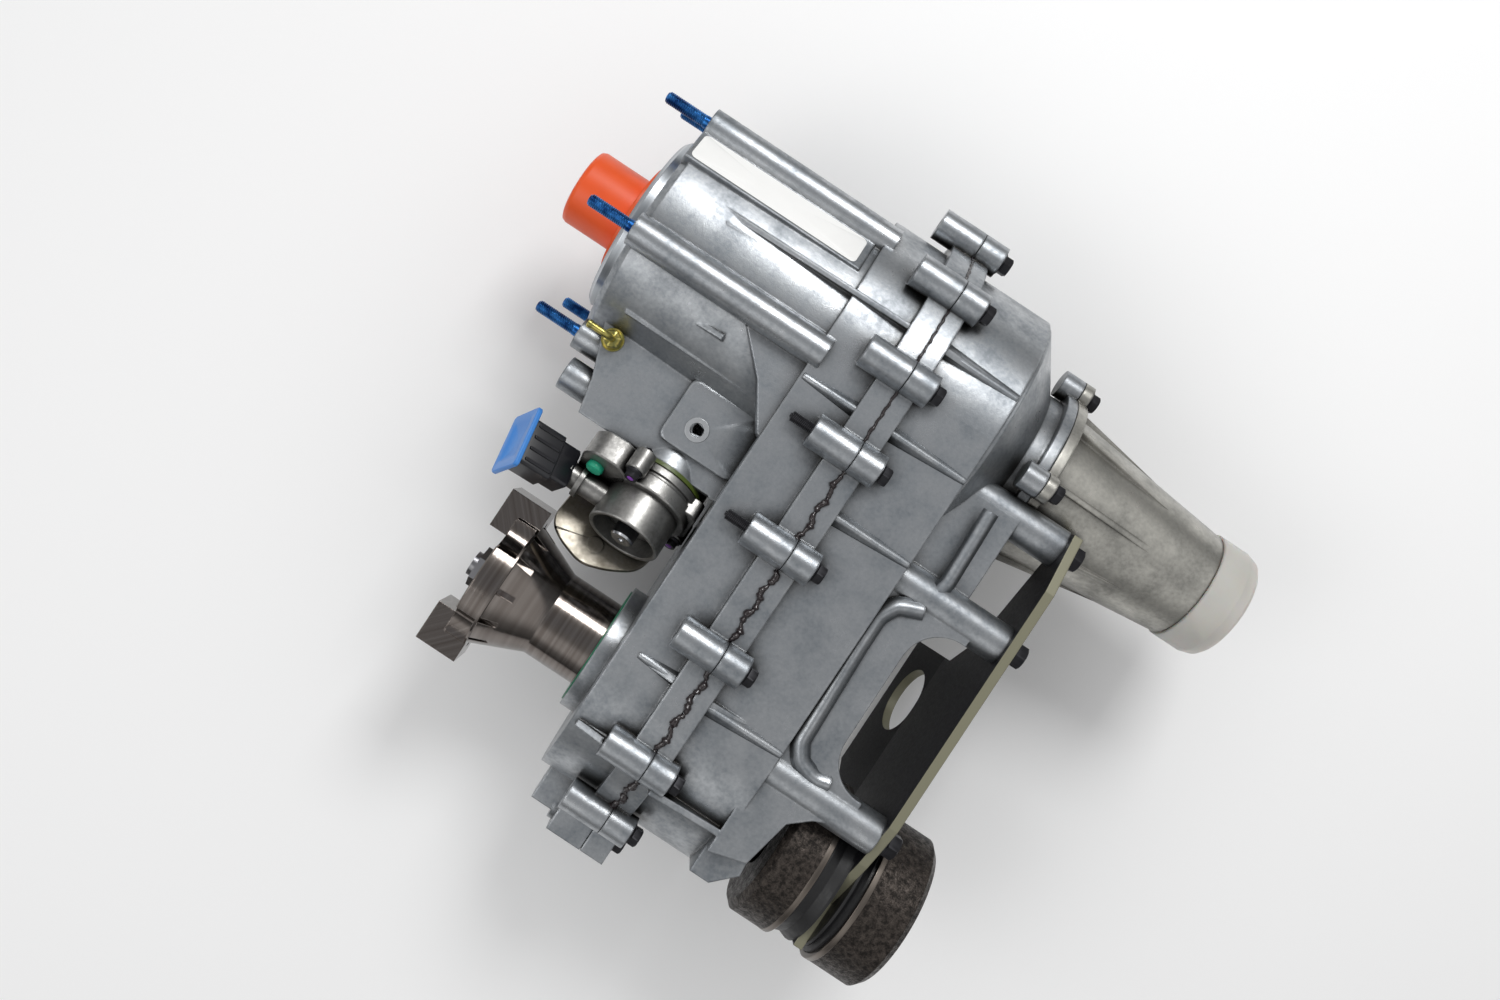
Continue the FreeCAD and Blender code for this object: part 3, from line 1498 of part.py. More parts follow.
def case_label():
    """Blank printed label on its flat seat."""
    box = document.addObject("Part::Box", "case_label")
    box.Label = "case_label"
    bind(box, "Length", s.label_length)
    bind(box, "Width", s.label_width)
    bind(box, "Height", s.label_thick)
    angle = s.label_angle
    reach = s.housing_r + 3.5
    half = s.label_width / 2
    box.Placement = FreeCAD.Placement(FreeCAD.Vector(0, 0, 0), FreeCAD.Rotation(FreeCAD.Vector(-1, 0, 0), angle.value))
    bind(box, ".Placement.Rotation.Angle", angle)
    bind(box, ".Placement.Base.x", 2)
    bind(box, ".Placement.Base.y", reach * sine(angle) - half * cosine(angle))
    bind(box, ".Placement.Base.z", reach * cosine(angle) + half * sine(angle))
    return box


def vent_tube():
    """Plated breather: a hexagon screwed into the ledge and a tube bent towards the front."""
    top = s.chamber_half
    pieces = [
        round_tool("vent", s.vent_r, top - 9, top + 1),
        hexagon_tool("vent", 13, top + 0.05, top + 7),
        round_tool("vent", 3.2, top + 6, top + 10),
    ]
    bend = document.addObject("Part::Torus", "vent_bend")
    bend.Radius1 = 7
    bend.Radius2 = 3.2
    bend.Angle3 = 90
    bend.Placement = FreeCAD.Placement(
        FreeCAD.Vector(-7, 0, 0), FreeCAD.Rotation(FreeCAD.Vector(1, 0, 0), 90)
    )
    bind(bend, ".Placement.Base.z", top + 10)
    nozzle = document.addObject("Part::Cylinder", "vent_nozzle")
    nozzle.Radius = 3.2
    nozzle.Height = 14
    nozzle.Placement = FreeCAD.Placement(
        FreeCAD.Vector(-7, 0, 0), FreeCAD.Rotation(FreeCAD.Vector(0, 1, 0), -90)
    )
    bind(nozzle, ".Placement.Base.z", top + 17)
    union = fused("vent_tube", pieces + [bend, nozzle])
    bind(union, ".Placement.Base.x", s.vent_x)
    bind(union, ".Placement.Base.y", -s.vent_y)
    return union


def screw_plug(label, place):
    """Threaded plug with a square recess in its hexagon head."""
    body = new_body(label, y=place[0], z=place[1])
    seat = s.rear_wall_x + 8
    bar(body, seat - 14, seat + 1, 0, 0, s.plug_thread_r)
    bar(body, seat, seat + 2, 0, 0, s.plug_thread_r + 4)
    sketch = new_sketch(body, offset=seat + 1)
    hexagon(sketch, 0, 0, 20)
    pad(body, sketch, 5)
    sketch = new_sketch(body, offset=seat + 2)
    outline(sketch, rectangle(-5, 5, -5, 5))
    pocket(body, sketch, 5)
    return body


def pump_parts():
    """Oil pump behind the mode hub: a housing ring and its rotor."""
    start = s.pump_x
    made = [ring("pump_rotor", start, 9, s.sprocket_journal_r - 2 + s.seat_gap, 30)]
    body = new_body("pump_housing")
    tube(body, start - 4, start + 13, s.sprocket_journal_r + 2, 46)
    turn(body, [(start - 0.4, 1), (start - 0.4, 30.4), (start + 9.4, 30.4), (start + 9.4, 1)], cut=True)
    made.append(body)
    return made


def build_all():
    """Every node of the assembly."""
    centre = -s.centre_distance
    nodes = [
        front_case_half(),
        rear_case_half(),
        case_sealant(),
        tail_housing(),
        ring("tail_sealant", s.tail_face_x, s.sealant_gap, s.rear_bearing_r + 2, s.tail_sealant_r),
        front_retainer(),
        input_shipping_plug(),
        output_shipping_cap(),
        front_studs(),
        case_bolts(),
        case_long_bolts(),
        tail_bolts(),
        bracket_bolts(),
        damper_bracket(),
        *damper_parts(),
        *actuator_parts(),
        actuator_bolts(),
        case_label(),
        vent_tube(),
        screw_plug("filler_plug", DRAINS[0]),
        screw_plug("drain_plug", DRAINS[1]),
        ring("input_seal", -s.pilot_reach + 4, 8, s.input_journal_r - 2 + s.run_gap, s.input_seal_r),
        ring("front_output_seal", s.seal_boss_x - 1, 10, s.flange_neck_r + s.run_gap, s.front_seal_r, y=centre),
        ring("output_seal", s.tail_end_x - 10, 9.5, s.output_seal_inner, s.tail_bore_r + 1 - s.seat_gap),
        ring("tail_bush", s.tail_end_x - 42, 28, s.tail_bore_r - 6, s.tail_bore_r - s.seat_gap),
        bearing("input_bearing", s.input_bearing_x, s.input_bearing_width, s.input_journal_r, s.input_bearing_r),
        bearing("mainshaft_bearing", s.rear_bearing_x, s.rear_bearing_width, s.rear_journal_r, s.rear_bearing_r),
        bearing(
            "front_output_bearing", s.front_bearing_x, s.front_bearing_width, s.front_shaft_r, s.front_bearing_r, y=centre
        ),
        ring("needle_bearing", s.needle_x, s.needle_width - 0.5, s.needle_journal_r, s.needle_r, y=centre),
        annulus_gear(),
        input_gear(),
        planet_carrier(),
        planet_gear(0),
        planet_gear(1),
        planet_gear(2),
        mainshaft(),
        slide_hub("range_hub", s.range_hub_x, s.mainshaft_r + s.run_gap, 21),
        slide_hub("mode_hub", s.mode_hub_x, s.sprocket_journal_r - 2 + s.run_gap, 0),
        shift_fork("range_fork", s.range_hub_x),
        shift_fork("mode_fork", s.mode_hub_x),
        shift_rail(),
        sprocket("drive_sprocket", 0, s.chain_x, s.sprocket_journal_r),
        sprocket("driven_sprocket", centre, s.chain_x, s.sprocket_journal_r + s.seat_gap),
        chain(),
        front_output_shaft(),
        front_output_flange(),
        flange_nut(),
        *pump_parts(),
    ]
    return nodes


nodes = build_all()
for node in nodes:
    if node.isDerivedFrom("PartDesign::Body"):
        node.Tip.Refine = True
document.recompute()
failed = [item.Name for item in document.Objects if "Invalid" in item.State or "Error" in item.State]
if failed:
    raise SystemExit("not built: " + ", ".join(failed))
for node in nodes:
    if node.Shape.isNull() or not node.Shape.isValid():
        raise SystemExit("bad solid: " + node.Label)
os.makedirs("parts", exist_ok=True)
for node in nodes:
    node.Shape.exportStep(f"parts/{node.Label}.step")
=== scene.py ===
import math

import bmesh
import bpy
import numpy as np
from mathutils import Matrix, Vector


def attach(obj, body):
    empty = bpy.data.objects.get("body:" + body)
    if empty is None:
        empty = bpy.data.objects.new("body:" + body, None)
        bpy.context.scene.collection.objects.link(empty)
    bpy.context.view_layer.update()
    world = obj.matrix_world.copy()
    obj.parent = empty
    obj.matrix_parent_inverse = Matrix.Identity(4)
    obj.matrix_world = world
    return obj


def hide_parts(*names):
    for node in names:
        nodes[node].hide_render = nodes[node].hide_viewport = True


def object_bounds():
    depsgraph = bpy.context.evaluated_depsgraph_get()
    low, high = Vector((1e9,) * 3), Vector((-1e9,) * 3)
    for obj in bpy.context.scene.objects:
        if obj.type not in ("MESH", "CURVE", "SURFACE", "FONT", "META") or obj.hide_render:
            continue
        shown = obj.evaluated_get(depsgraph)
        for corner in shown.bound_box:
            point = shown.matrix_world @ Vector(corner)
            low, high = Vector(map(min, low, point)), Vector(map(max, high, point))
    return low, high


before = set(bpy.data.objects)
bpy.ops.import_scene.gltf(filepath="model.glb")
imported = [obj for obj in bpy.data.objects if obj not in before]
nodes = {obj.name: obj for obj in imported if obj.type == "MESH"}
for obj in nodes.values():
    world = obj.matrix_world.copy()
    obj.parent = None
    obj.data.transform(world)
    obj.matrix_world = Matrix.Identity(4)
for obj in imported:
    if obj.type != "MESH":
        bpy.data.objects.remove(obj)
cad_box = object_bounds()
mm = 0.001


# The case: two die castings of aluminium, blasted after casting, that hold the gears and the chain, and the
# ribbed tail housing behind them. The skin is satin grey with flow marks, painted shade in its corners and
# edges rounded so that they catch the light.
def linear(code):
    """An sRGB hex colour as linear light."""
    parts = [int(code[i : i + 2], 16) / 255 for i in (0, 2, 4)]
    light = [c / 12.92 if c <= 0.04045 else ((c + 0.055) / 1.055) ** 2.4 for c in parts]
    return (*light, 1.0)


def add_node(tree, kind, inputs=None, **settings):
    """A shader node with its settings and inputs; an input is a value or another node's socket."""
    node = tree.nodes.new("ShaderNode" + kind)
    for key, value in settings.items():
        setattr(node, key, value)
    for key, value in (inputs or {}).items():
        if isinstance(value, bpy.types.NodeSocket):
            tree.links.new(value, node.inputs[key])
        else:
            node.inputs[key].default_value = value
    return node


def new_material(name, **sockets):
    """A principled material with fixed values on the shader's own sockets: the material, tree and shader."""
    material = bpy.data.materials.new(name)
    material.use_nodes = True
    shader = material.node_tree.nodes["Principled BSDF"]
    for key, value in sockets.items():
        shader.inputs[key.replace("_", " ")].default_value = value
    return material, material.node_tree, shader


def dress(material, *names):
    """Give CAD nodes a material in every slot they have."""
    for name in names:
        mesh = nodes[name].data
        if not mesh.materials:
            mesh.materials.append(material)
        for i in range(len(mesh.materials)):
            mesh.materials[i] = material


def blasted_casting(name, light, dark, painted_shade, edge=2.4 * mm):
    """Die-cast aluminium.

    Flow marks 30 mm wide and specks 3 mm wide mix two greys. Corners within 14 mm of other metal are mixed
    towards a dark colour by ambient occlusion: painted shade. Edges are rounded for the light over a few
    millimetres, and a 0.8 mm grain roughens the skin.
    """
    material, tree, shader = new_material(name, Metallic=0.88)
    place = add_node(tree, "TexCoord").outputs["Object"]
    flow = add_node(tree, "TexNoise", {"Vector": place, "Scale": 1 / 0.030, "Detail": 6.0, "Roughness": 0.62})
    specks = add_node(tree, "TexNoise", {"Vector": place, "Scale": 1 / 0.003, "Detail": 3.0})
    marks = add_node(
        tree, "Math", {0: specks.outputs["Fac"], 1: 0.35, 2: flow.outputs["Fac"]}, operation="MULTIPLY_ADD"
    )
    tone = add_node(tree, "MapRange", {"Value": marks.outputs["Value"], "From Min": 0.48, "From Max": 0.86})
    greys = add_node(
        tree, "MixRGB", {"Fac": tone.outputs["Result"], "Color1": linear(dark), "Color2": linear(light)}
    )
    # Painted shade: ambient occlusion within 14 mm mixes the corners towards the dark shade colour.
    corner = add_node(tree, "AmbientOcclusion", {"Distance": 0.014}, samples=4)
    open_air = add_node(tree, "MapRange", {"Value": corner.outputs["AO"], "From Min": 0.30, "From Max": 0.85})
    skin = add_node(
        tree,
        "MixRGB",
        {"Fac": open_air.outputs["Result"], "Color1": linear(painted_shade), "Color2": greys.outputs["Color"]},
    )
    tree.links.new(skin.outputs["Color"], shader.inputs["Base Color"])
    polish = add_node(
        tree,
        "MapRange",
        {"Value": marks.outputs["Value"], "From Min": 0.5, "From Max": 0.85, "To Min": 0.44, "To Max": 0.27},
    )
    tree.links.new(polish.outputs["Result"], shader.inputs["Roughness"])
    rounded = add_node(tree, "Bevel", {"Radius": edge}, samples=6)
    grain = add_node(tree, "TexNoise", {"Vector": place, "Scale": 1 / 0.0008, "Detail": 2.0})
    dents = add_node(
        tree, "Math", {0: flow.outputs["Fac"], 1: 3.0, 2: grain.outputs["Fac"]}, operation="MULTIPLY_ADD"
    )
    relief = add_node(
        tree,
        "Bump",
        {
            "Height": dents.outputs["Value"],
            "Strength": 0.3,
            "Distance": 0.25 * mm,
            "Normal": rounded.outputs["Normal"],
        },
    )
    tree.links.new(relief.outputs["Normal"], shader.inputs["Normal"])
    return material


# The last colour of each blasted casting is the painted shade mixed into its corners.
die_cast = blasted_casting("aluminium_die_cast_blasted", "B2B5B8", "7E8388", "34322F")
dress(die_cast, "front_case_half", "rear_case_half")
dress(blasted_casting("aluminium_sand_cast_tail", "B8B6AF", "8A8984", "3A3733"), "tail_housing")
inside_cast = blasted_casting("aluminium_cast_inside", "A0A2A4", "85878A", "3E3D3B", edge=0.5 * mm)
dress(inside_cast, "pump_housing")


# Ribs, ridges and the drilled pad of the castings: slim, drafted, with wide fillets at their feet, as the die
# leaves them. The ribs run out from the bolting flange over both halves and the ridges along the rim of the
# web. The pad's hole is spot-faced by a cutter after casting.
def grid_piece(name, grids, material, body, along_closed=False):
    """A piece from grids of points, each with rows along a form and columns round it.

    Neighbouring points make four-sided faces that look outwards when the columns turn anticlockwise about the
    direction of the rows. Each last column joins the first, and so do the rows of a form that closes along
    itself. Points that meet at a pole are merged.
    """
    points = []
    faces = []
    first = 0
    for grid in grids:
        index = first + np.arange(grid[..., 0].size).reshape(grid.shape[:2])
        first += index.size
        if along_closed:
            index = np.concatenate([index, index[:1]], axis=0)
        index = np.concatenate([index, index[:, :1]], axis=1)
        corners = [index[:-1, :-1], index[:-1, 1:], index[1:, 1:], index[1:, :-1]]
        faces.append(np.stack(corners, axis=-1).reshape(-1, 4))
        points.append(grid.reshape(-1, 3))
    mesh = bpy.data.meshes.new(name)
    mesh.from_pydata(np.concatenate(points).tolist(), [], np.concatenate(faces).tolist())
    shell = bmesh.new()
    shell.from_mesh(mesh)
    bmesh.ops.remove_doubles(shell, verts=shell.verts, dist=1e-6)
    shell.to_mesh(mesh)
    shell.free()
    mesh.polygons.foreach_set("use_smooth", np.ones(len(mesh.polygons), dtype=bool))
    mesh.set_sharp_from_angle(angle=math.radians(38))
    mesh.materials.append(material)
    piece = bpy.data.objects.new(name, mesh)
    bpy.context.collection.objects.link(piece)
    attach(piece, body)
    return piece


def smooth_path(corners, count):
    """A path through its corners: straight between them, with its travel divided evenly, softened once.

    Every point but the two ends takes the mean of itself and its neighbours, so bends turn softly.
    """
    corners = np.asarray(corners, dtype=float) * mm
    travel = np.concatenate([[0.0], np.cumsum(np.linalg.norm(np.diff(corners, axis=0), axis=1))])
    even = np.linspace(0.0, travel[-1], count)
    path = np.stack([np.interp(even, travel, corners[:, i]) for i in range(3)], axis=-1)
    path[1:-1] = (path[:-2] + path[1:-1] + path[2:]) / 3
    return path


def cast_ridge(corners, half_width, high, low_end=1.0, count=60, across=15):
    """Points of a ridge on the casting: a bell profile carried along a path, closed by flat ends.

    The bell is the square of one less the square of the share of the half width, times the height, so it
    meets the casting tangentially. The height falls evenly to its low end's share, and part of the width
    with it. The ridge starts a little below the surface. Sizes are in millimetres.
    """
    sunk = 0.4
    kept_width = 0.4
    path = smooth_path(corners, count)
    ahead = np.gradient(path, axis=0)
    ahead /= np.linalg.norm(ahead, axis=1, keepdims=True)
    up = np.array([0.0, 0.0, 1.0])
    side = np.cross(up, ahead)
    side /= np.linalg.norm(side, axis=1, keepdims=True)
    fall = np.linspace(1.0, low_end, count)[:, None]
    share = np.linspace(1.0, -1.0, across)[None, :]
    lift = (high * fall * (1 - share**2) ** 2 - sunk) * mm
    reach = half_width * mm * (kept_width + (1 - kept_width) * fall) * share
    grid = path[:, None, :] + reach[..., None] * side[:, None, :] + lift[..., None] * up
    foot = path - sunk * mm * up
    ends = [np.repeat(foot[i][None, None, :], across, axis=1) for i in (0, -1)]
    return np.concatenate([ends[0], grid, ends[1]])


centre_distance = 285.75 * mm
front_y = -centre_distance
wall_main_r = 106.0
wall_front_r = 94.0
tangent_main_y = -4.5
tangent_front_y = -289.7
tangent_main_z = 105.9
tangent_slope = 0.042


def chain_wall_z(y):
    """Height of the chain case's upper wall over the axes, in millimetres: two arcs and their tangent."""
    if y > tangent_main_y:
        return math.sqrt(wall_main_r**2 - y**2)
    if y < tangent_front_y:
        return math.sqrt(wall_front_r**2 - (y - front_y / mm) ** 2)
    return tangent_main_z + (y - tangent_main_y) * tangent_slope


rear_ribs = [(222, 29, 285), (222, -38, 286), (222, -107, 286), (222, -265, 286), (222, -336, 264)]
front_ribs = [(204, -38, 153), (207, -261, 165), (204, -324, 162)]
ridges = [
    cast_ridge(
        [(near, y, chain_wall_z(y)), (far, y, chain_wall_z(y))], half_width=7.0, high=6.5, low_end=0.2
    )
    for near, y, far in rear_ribs + front_ribs
]
lower_ridge = [(314, -127, 91), (296, -134, 93), (289, -147, 93), (289, -172, 93), (292, -250, 92)]
lower_ridge += [(300, -262, 91), (315, -267, 90), (326, -264, 90)]
upper_ridge = [(312, -121, 90), (317, -102, 90), (316, -71, 90), (315, -44, 90)]
ridges.append(cast_ridge(lower_ridge, half_width=7.0, high=3.6))
ridges.append(cast_ridge(upper_ridge, half_width=6.0, high=2.6))


def soft_polygon(corners, radius, count=8):
    """Outline of a polygon in millimetres whose corners are rounded by a quadratic curve over the radius."""
    corner = np.asarray(corners, dtype=float) * mm
    before = np.roll(corner, 1, axis=0) - corner
    after = np.roll(corner, -1, axis=0) - corner
    before *= radius * mm / np.linalg.norm(before, axis=1, keepdims=True)
    after *= radius * mm / np.linalg.norm(after, axis=1, keepdims=True)
    share = np.linspace(0.0, 1.0, count)[None, :, None]
    bend = corner[:, None] + (1 - share) ** 2 * before[:, None] + share**2 * after[:, None]
    return bend.reshape(-1, 2)


def holed_pad(corners, corner_r, low, high, hole, hole_r):
    """Points of a pad with rounded corners and a round hole; the sizes are in millimetres.

    Each point of the outline is joined to the hole's rim at the same angle about the hole's centre. The top
    is drawn in by a share of the outline, which chamfers its edge.
    """
    chamfer = 1.2
    top_share = 0.96
    edge = soft_polygon(corners, corner_r)
    place = np.array(hole) * mm
    angle = np.arctan2(edge[:, 1] - place[1], edge[:, 0] - place[0])
    rim = place + hole_r * mm * np.stack([np.cos(angle), np.sin(angle)], axis=-1)
    drawn_in = place + (edge - place) * top_share
    rows = [(edge, low), (edge, high - chamfer), (drawn_in, high), (rim, high), (rim, low)]
    return np.stack([np.column_stack([flat, np.full(len(flat), level * mm)]) for flat, level in rows])


pad_corners = [(90, -128), (154, -128), (154, -77), (90, -77)]
hole_place = (112.5, -108.8)
pad = holed_pad(pad_corners, corner_r=8, low=54, high=62, hole=hole_place, hole_r=5)
grid_piece("hole_pad", [pad], die_cast, "casing", along_closed=True)
grid_piece("cast_ridges", ridges, die_cast, "casing")


def turned_form(rows, place, axis, side, count=48):
    """Points of a turned form: each row's height along the axis and its radius, swept once round the axis."""
    axis = np.asarray(axis, dtype=float)
    side = np.asarray(side, dtype=float)
    other = np.cross(axis, side)
    angle = np.linspace(0.0, 2 * math.pi, count, endpoint=False)[None, :, None]
    high, radius = (np.array(rows, dtype=float) * mm).T[:, :, None, None]
    return np.asarray(place) + high * axis + radius * (np.cos(angle) * side + np.sin(angle) * other)


face_rows = [(60, 5), (62, 5), (62.4, 5.4), (62.4, 8.8), (61.9, 9.4), (60, 9.4)]
spot_face = turned_form(face_rows, (hole_place[0] * mm, hole_place[1] * mm, 0), (0, 0, 1), (1, 0, 0))
# The last colour is the painted shade in the spot face's corners.
machined = blasted_casting("aluminium_spot_faced", "C6C8CA", "A9ACAF", "55534F", edge=0.4 * mm)
grid_piece("hole_spot_face", [spot_face], machined, "casing", along_closed=True)


# Gears, shafts, bearings, forks and chain: what the case holds. They are case-hardened steel with ground
# faces and a thin film of oil, with two cast forks on a ground rail and a bronze bush in the tail.
def ground_steel(name, light, dark, roughness):
    """Ground steel: grinding scratches 0.4 mm apart along X, and a 12 mm variation of tone."""
    material, tree, shader = new_material(name, Metallic=1.0, Roughness=roughness)
    place = add_node(tree, "TexCoord").outputs["Object"]
    tone = add_node(tree, "TexNoise", {"Vector": place, "Scale": 1 / 0.012, "Detail": 3.0})
    colour = add_node(
        tree, "MixRGB", {"Fac": tone.outputs["Fac"], "Color1": linear(dark), "Color2": linear(light)}
    )
    tree.links.new(colour.outputs["Color"], shader.inputs["Base Color"])
    stretched = add_node(tree, "Mapping", {"Vector": place, "Scale": (0.05, 1.0, 1.0)})
    scratch = add_node(
        tree, "TexNoise", {"Vector": stretched.outputs["Vector"], "Scale": 1 / 0.0004, "Detail": 2.0}
    )
    relief = add_node(
        tree, "Bump", {"Height": scratch.outputs["Fac"], "Strength": 0.12, "Distance": 0.1 * mm}
    )
    tree.links.new(relief.outputs["Normal"], shader.inputs["Normal"])
    return material


oiled_steel = ground_steel("steel_ground_oiled", "9A9A9C", "7C7C80", 0.28)
dress(oiled_steel, "input_gear", "annulus_gear", "planet_carrier", "planet_gear_1", "planet_gear_2")
dress(oiled_steel, "planet_gear_3", "mainshaft", "range_hub", "mode_hub", "drive_sprocket", "driven_sprocket")
dress(oiled_steel, "front_output_shaft", "pump_rotor", "shift_rail", "sector_shaft", "needle_bearing")
bearing_steel = ground_steel("steel_bearing_race", "B2B4B8", "9C9EA2", 0.2)
dress(bearing_steel, "input_bearing", "mainshaft_bearing", "front_output_bearing")
dress(ground_steel("steel_chain_plates", "6E6E72", "55555A", 0.35), "chain")
dress(ground_steel("bronze_bush", "B08D57", "96743F", 0.32), "tail_bush")
dress(inside_cast, "range_fork", "mode_fork")


# Sealant: a bead squeezed out all round as the halves were bolted together, cured to a glossy brown-black
# rubber. It is thin beside the gears and lumpy towards the front output. Soft seals close the shafts.
def moulded_rubber(name, colour, roughness, coat=0.0):
    """Moulded rubber: a 1.5 mm ripple and a fine bloom that dulls it in patches 6 mm wide."""
    material, tree, shader = new_material(name, Coat_Weight=coat, Coat_Roughness=0.12)
    shader.inputs["Base Color"].default_value = linear(colour)
    place = add_node(tree, "TexCoord").outputs["Object"]
    bloom = add_node(tree, "TexNoise", {"Vector": place, "Scale": 1 / 0.006, "Detail": 3.0})
    dull = add_node(
        tree,
        "MapRange",
        {
            "Value": bloom.outputs["Fac"],
            "From Min": 0.3,
            "From Max": 0.7,
            "To Min": roughness - 0.08,
            "To Max": roughness + 0.1,
        },
    )
    tree.links.new(dull.outputs["Result"], shader.inputs["Roughness"])
    ripple = add_node(tree, "TexNoise", {"Vector": place, "Scale": 1 / 0.0015, "Detail": 2.0})
    relief = add_node(
        tree, "Bump", {"Height": ripple.outputs["Fac"], "Strength": 0.35, "Distance": 0.3 * mm}
    )
    tree.links.new(relief.outputs["Normal"], shader.inputs["Normal"])
    return material


split_x = 212.0 * mm
flange_main_r = 114.0 * mm
flange_front_r = 102.0 * mm


def belt(main_r, front_r, count):
    """The case outline in Y and Z: arcs about the two shafts and their common tangents, evenly divided.

    The tangents leave the arcs at the angle whose cosine is the difference of the radii over the distance.
    """
    turn = math.acos((front_r - main_r) / centre_distance)
    on_main = np.linspace(-turn, turn, 200)
    on_front = np.linspace(turn, 2 * math.pi - turn, 200)
    y = np.concatenate([main_r * np.cos(on_main), front_y + front_r * np.cos(on_front)])
    z = np.concatenate([main_r * np.sin(on_main), front_r * np.sin(on_front)])
    y = np.append(y, y[0])
    z = np.append(z, z[0])
    travel = np.concatenate([[0.0], np.cumsum(np.hypot(np.diff(y), np.diff(z)))])
    even = np.linspace(0.0, travel[-1], count, endpoint=False)
    return np.interp(even, travel, y), np.interp(even, travel, z)


def squeezed_bead(count=1400, sides=10):
    """Points of the bead: a ring round every point of the joint, with a radius that swells and thins.

    The radius is 1 mm plus three sines of the travel with fixed phases, and is never under 0.7 mm. A
    smooth step of Y, from the gears to the front output, makes the bead thicker and sways it along X by
    two more sines.
    """
    y, z = belt(flange_main_r, flange_front_r, count)
    travel = np.linspace(0.0, 2 * math.pi, count, endpoint=False)
    lumpy = 1.0 / (1.0 + np.exp((y + 75 * mm) / (14 * mm)))
    wave = np.sin(83 * travel + 1.3) + 0.8 * np.sin(191 * travel + 0.4) + 0.6 * np.sin(317 * travel + 2.2)
    radius = (1.0 + 0.15 * wave + lumpy * (1.2 + 0.5 * wave)) * mm
    radius = np.maximum(radius, 0.7 * mm)
    sway = lumpy * 1.5 * mm * np.sin(57 * travel + 0.9) + 0.35 * mm * np.sin(143 * travel)
    middle = np.stack([split_x + sway, y, z], axis=-1)
    ahead = np.roll(middle, -1, axis=0) - np.roll(middle, 1, axis=0)
    ahead /= np.linalg.norm(ahead, axis=1, keepdims=True)
    side = np.broadcast_to([1.0, 0.0, 0.0], middle.shape)
    angle = np.linspace(0.0, 2 * math.pi, sides, endpoint=False)[:, None]
    ring = np.cos(angle) * side[:, None, :] + np.sin(angle) * np.cross(ahead, side)[:, None, :]
    return middle[:, None, :] + radius[:, None, None] * ring


sealant = moulded_rubber("silicone_sealant_brown_black", "1B1012", 0.28, coat=0.5)
grid_piece("sealant_bead", [squeezed_bead()], sealant, "casing", along_closed=True)
dress(sealant, "case_sealant", "tail_sealant")
dress(moulded_rubber("nitrile_seal_black", "141414", 0.5), "input_seal", "output_seal")
dress(moulded_rubber("nitrile_seal_green", "1E6B4E", 0.4), "front_output_seal")


# Case bolts: flanged hexagon bolts of phosphated steel, fourteen short ones and two long ones whose threads
# stand out at the front. The same bolts, shorter, hold the tail housing, and larger ones the damper bracket.
def phosphated_steel(name, light, dark):
    """Phosphated steel: near-black grey crystals 0.6 mm wide, oiled, with a 5 mm change of tone."""
    material, tree, shader = new_material(name, Metallic=0.75)
    place = add_node(tree, "TexCoord").outputs["Object"]
    tone = add_node(tree, "TexNoise", {"Vector": place, "Scale": 1 / 0.005, "Detail": 4.0})
    colour = add_node(
        tree, "MixRGB", {"Fac": tone.outputs["Fac"], "Color1": linear(dark), "Color2": linear(light)}
    )
    tree.links.new(colour.outputs["Color"], shader.inputs["Base Color"])
    oil = add_node(tree, "MapRange", {"Value": tone.outputs["Fac"], "To Min": 0.28, "To Max": 0.55})
    tree.links.new(oil.outputs["Result"], shader.inputs["Roughness"])
    crystal = add_node(tree, "TexNoise", {"Vector": place, "Scale": 1 / 0.0006, "Detail": 1.0})
    relief = add_node(
        tree, "Bump", {"Height": crystal.outputs["Fac"], "Strength": 0.2, "Distance": 0.1 * mm}
    )
    tree.links.new(relief.outputs["Normal"], shader.inputs["Normal"])
    return material


def hexagon_r(angle, flat):
    """Radius of a hexagon at an angle: half its flat over the cosine of the angle from the nearest flat."""
    return flat / 2 / np.cos((angle + math.pi / 6) % (math.pi / 3) - math.pi / 6)


def flanged_bolt(radius, length, flat, places, axes=np.eye(3), pitch=1.25 * mm, sides=36):
    """Points of equal bolts whose heads seat at the given places and face along the first of three axes.

    Along the bolt, the radius grows from the pointed end to a threaded shank, steps out to the washer flange,
    and follows the hexagon up to a cone that cuts its corners. The thread takes a triangle wave of the travel
    in pitches less the turn from the radius, so it climbs one pitch a turn.
    """
    rows_a_pitch = 5
    point = 1.5 * mm
    depth = 0.45 * mm
    rim = 0.9 * mm
    washer = 2.2 * mm
    cone = 1.2 * mm
    flange_r = flat * 0.68
    head = flat * 0.62
    angle = np.linspace(0.0, 2 * math.pi, sides, endpoint=False)[None, :]
    shank = np.linspace(-length, 0.0, int(length / pitch * rows_a_pitch))[:, None]
    wave = np.abs((shank / pitch - angle / (2 * math.pi)) % 1.0 * 2 - 1)
    ease = np.clip((shank + length) / point, 0.45, 1.0)
    thread = radius * ease - depth * wave
    flange_rows = [(0.0, flange_r), (rim, flange_r), (washer, flat * 0.56)]
    head_rows = [(washer, flat), (head - cone, flat), (head, flat * 0.47), (head, 0.0)]
    rows = np.array(flange_rows + head_rows)
    corner = np.where(rows[:, 0:1] > rim, hexagon_r(angle, flat), np.inf)
    head_r = np.minimum(rows[:, 1:2], corner)
    along = np.concatenate([shank[:1], shank, rows[:, 0:1]])
    radii = np.concatenate([np.zeros_like(angle), thread, head_r])
    along = along * np.ones_like(angle)
    form = np.stack([along, radii * np.cos(angle), radii * np.sin(angle)], axis=-1) @ np.asarray(axes)
    return [np.asarray(place) + form for place in places]


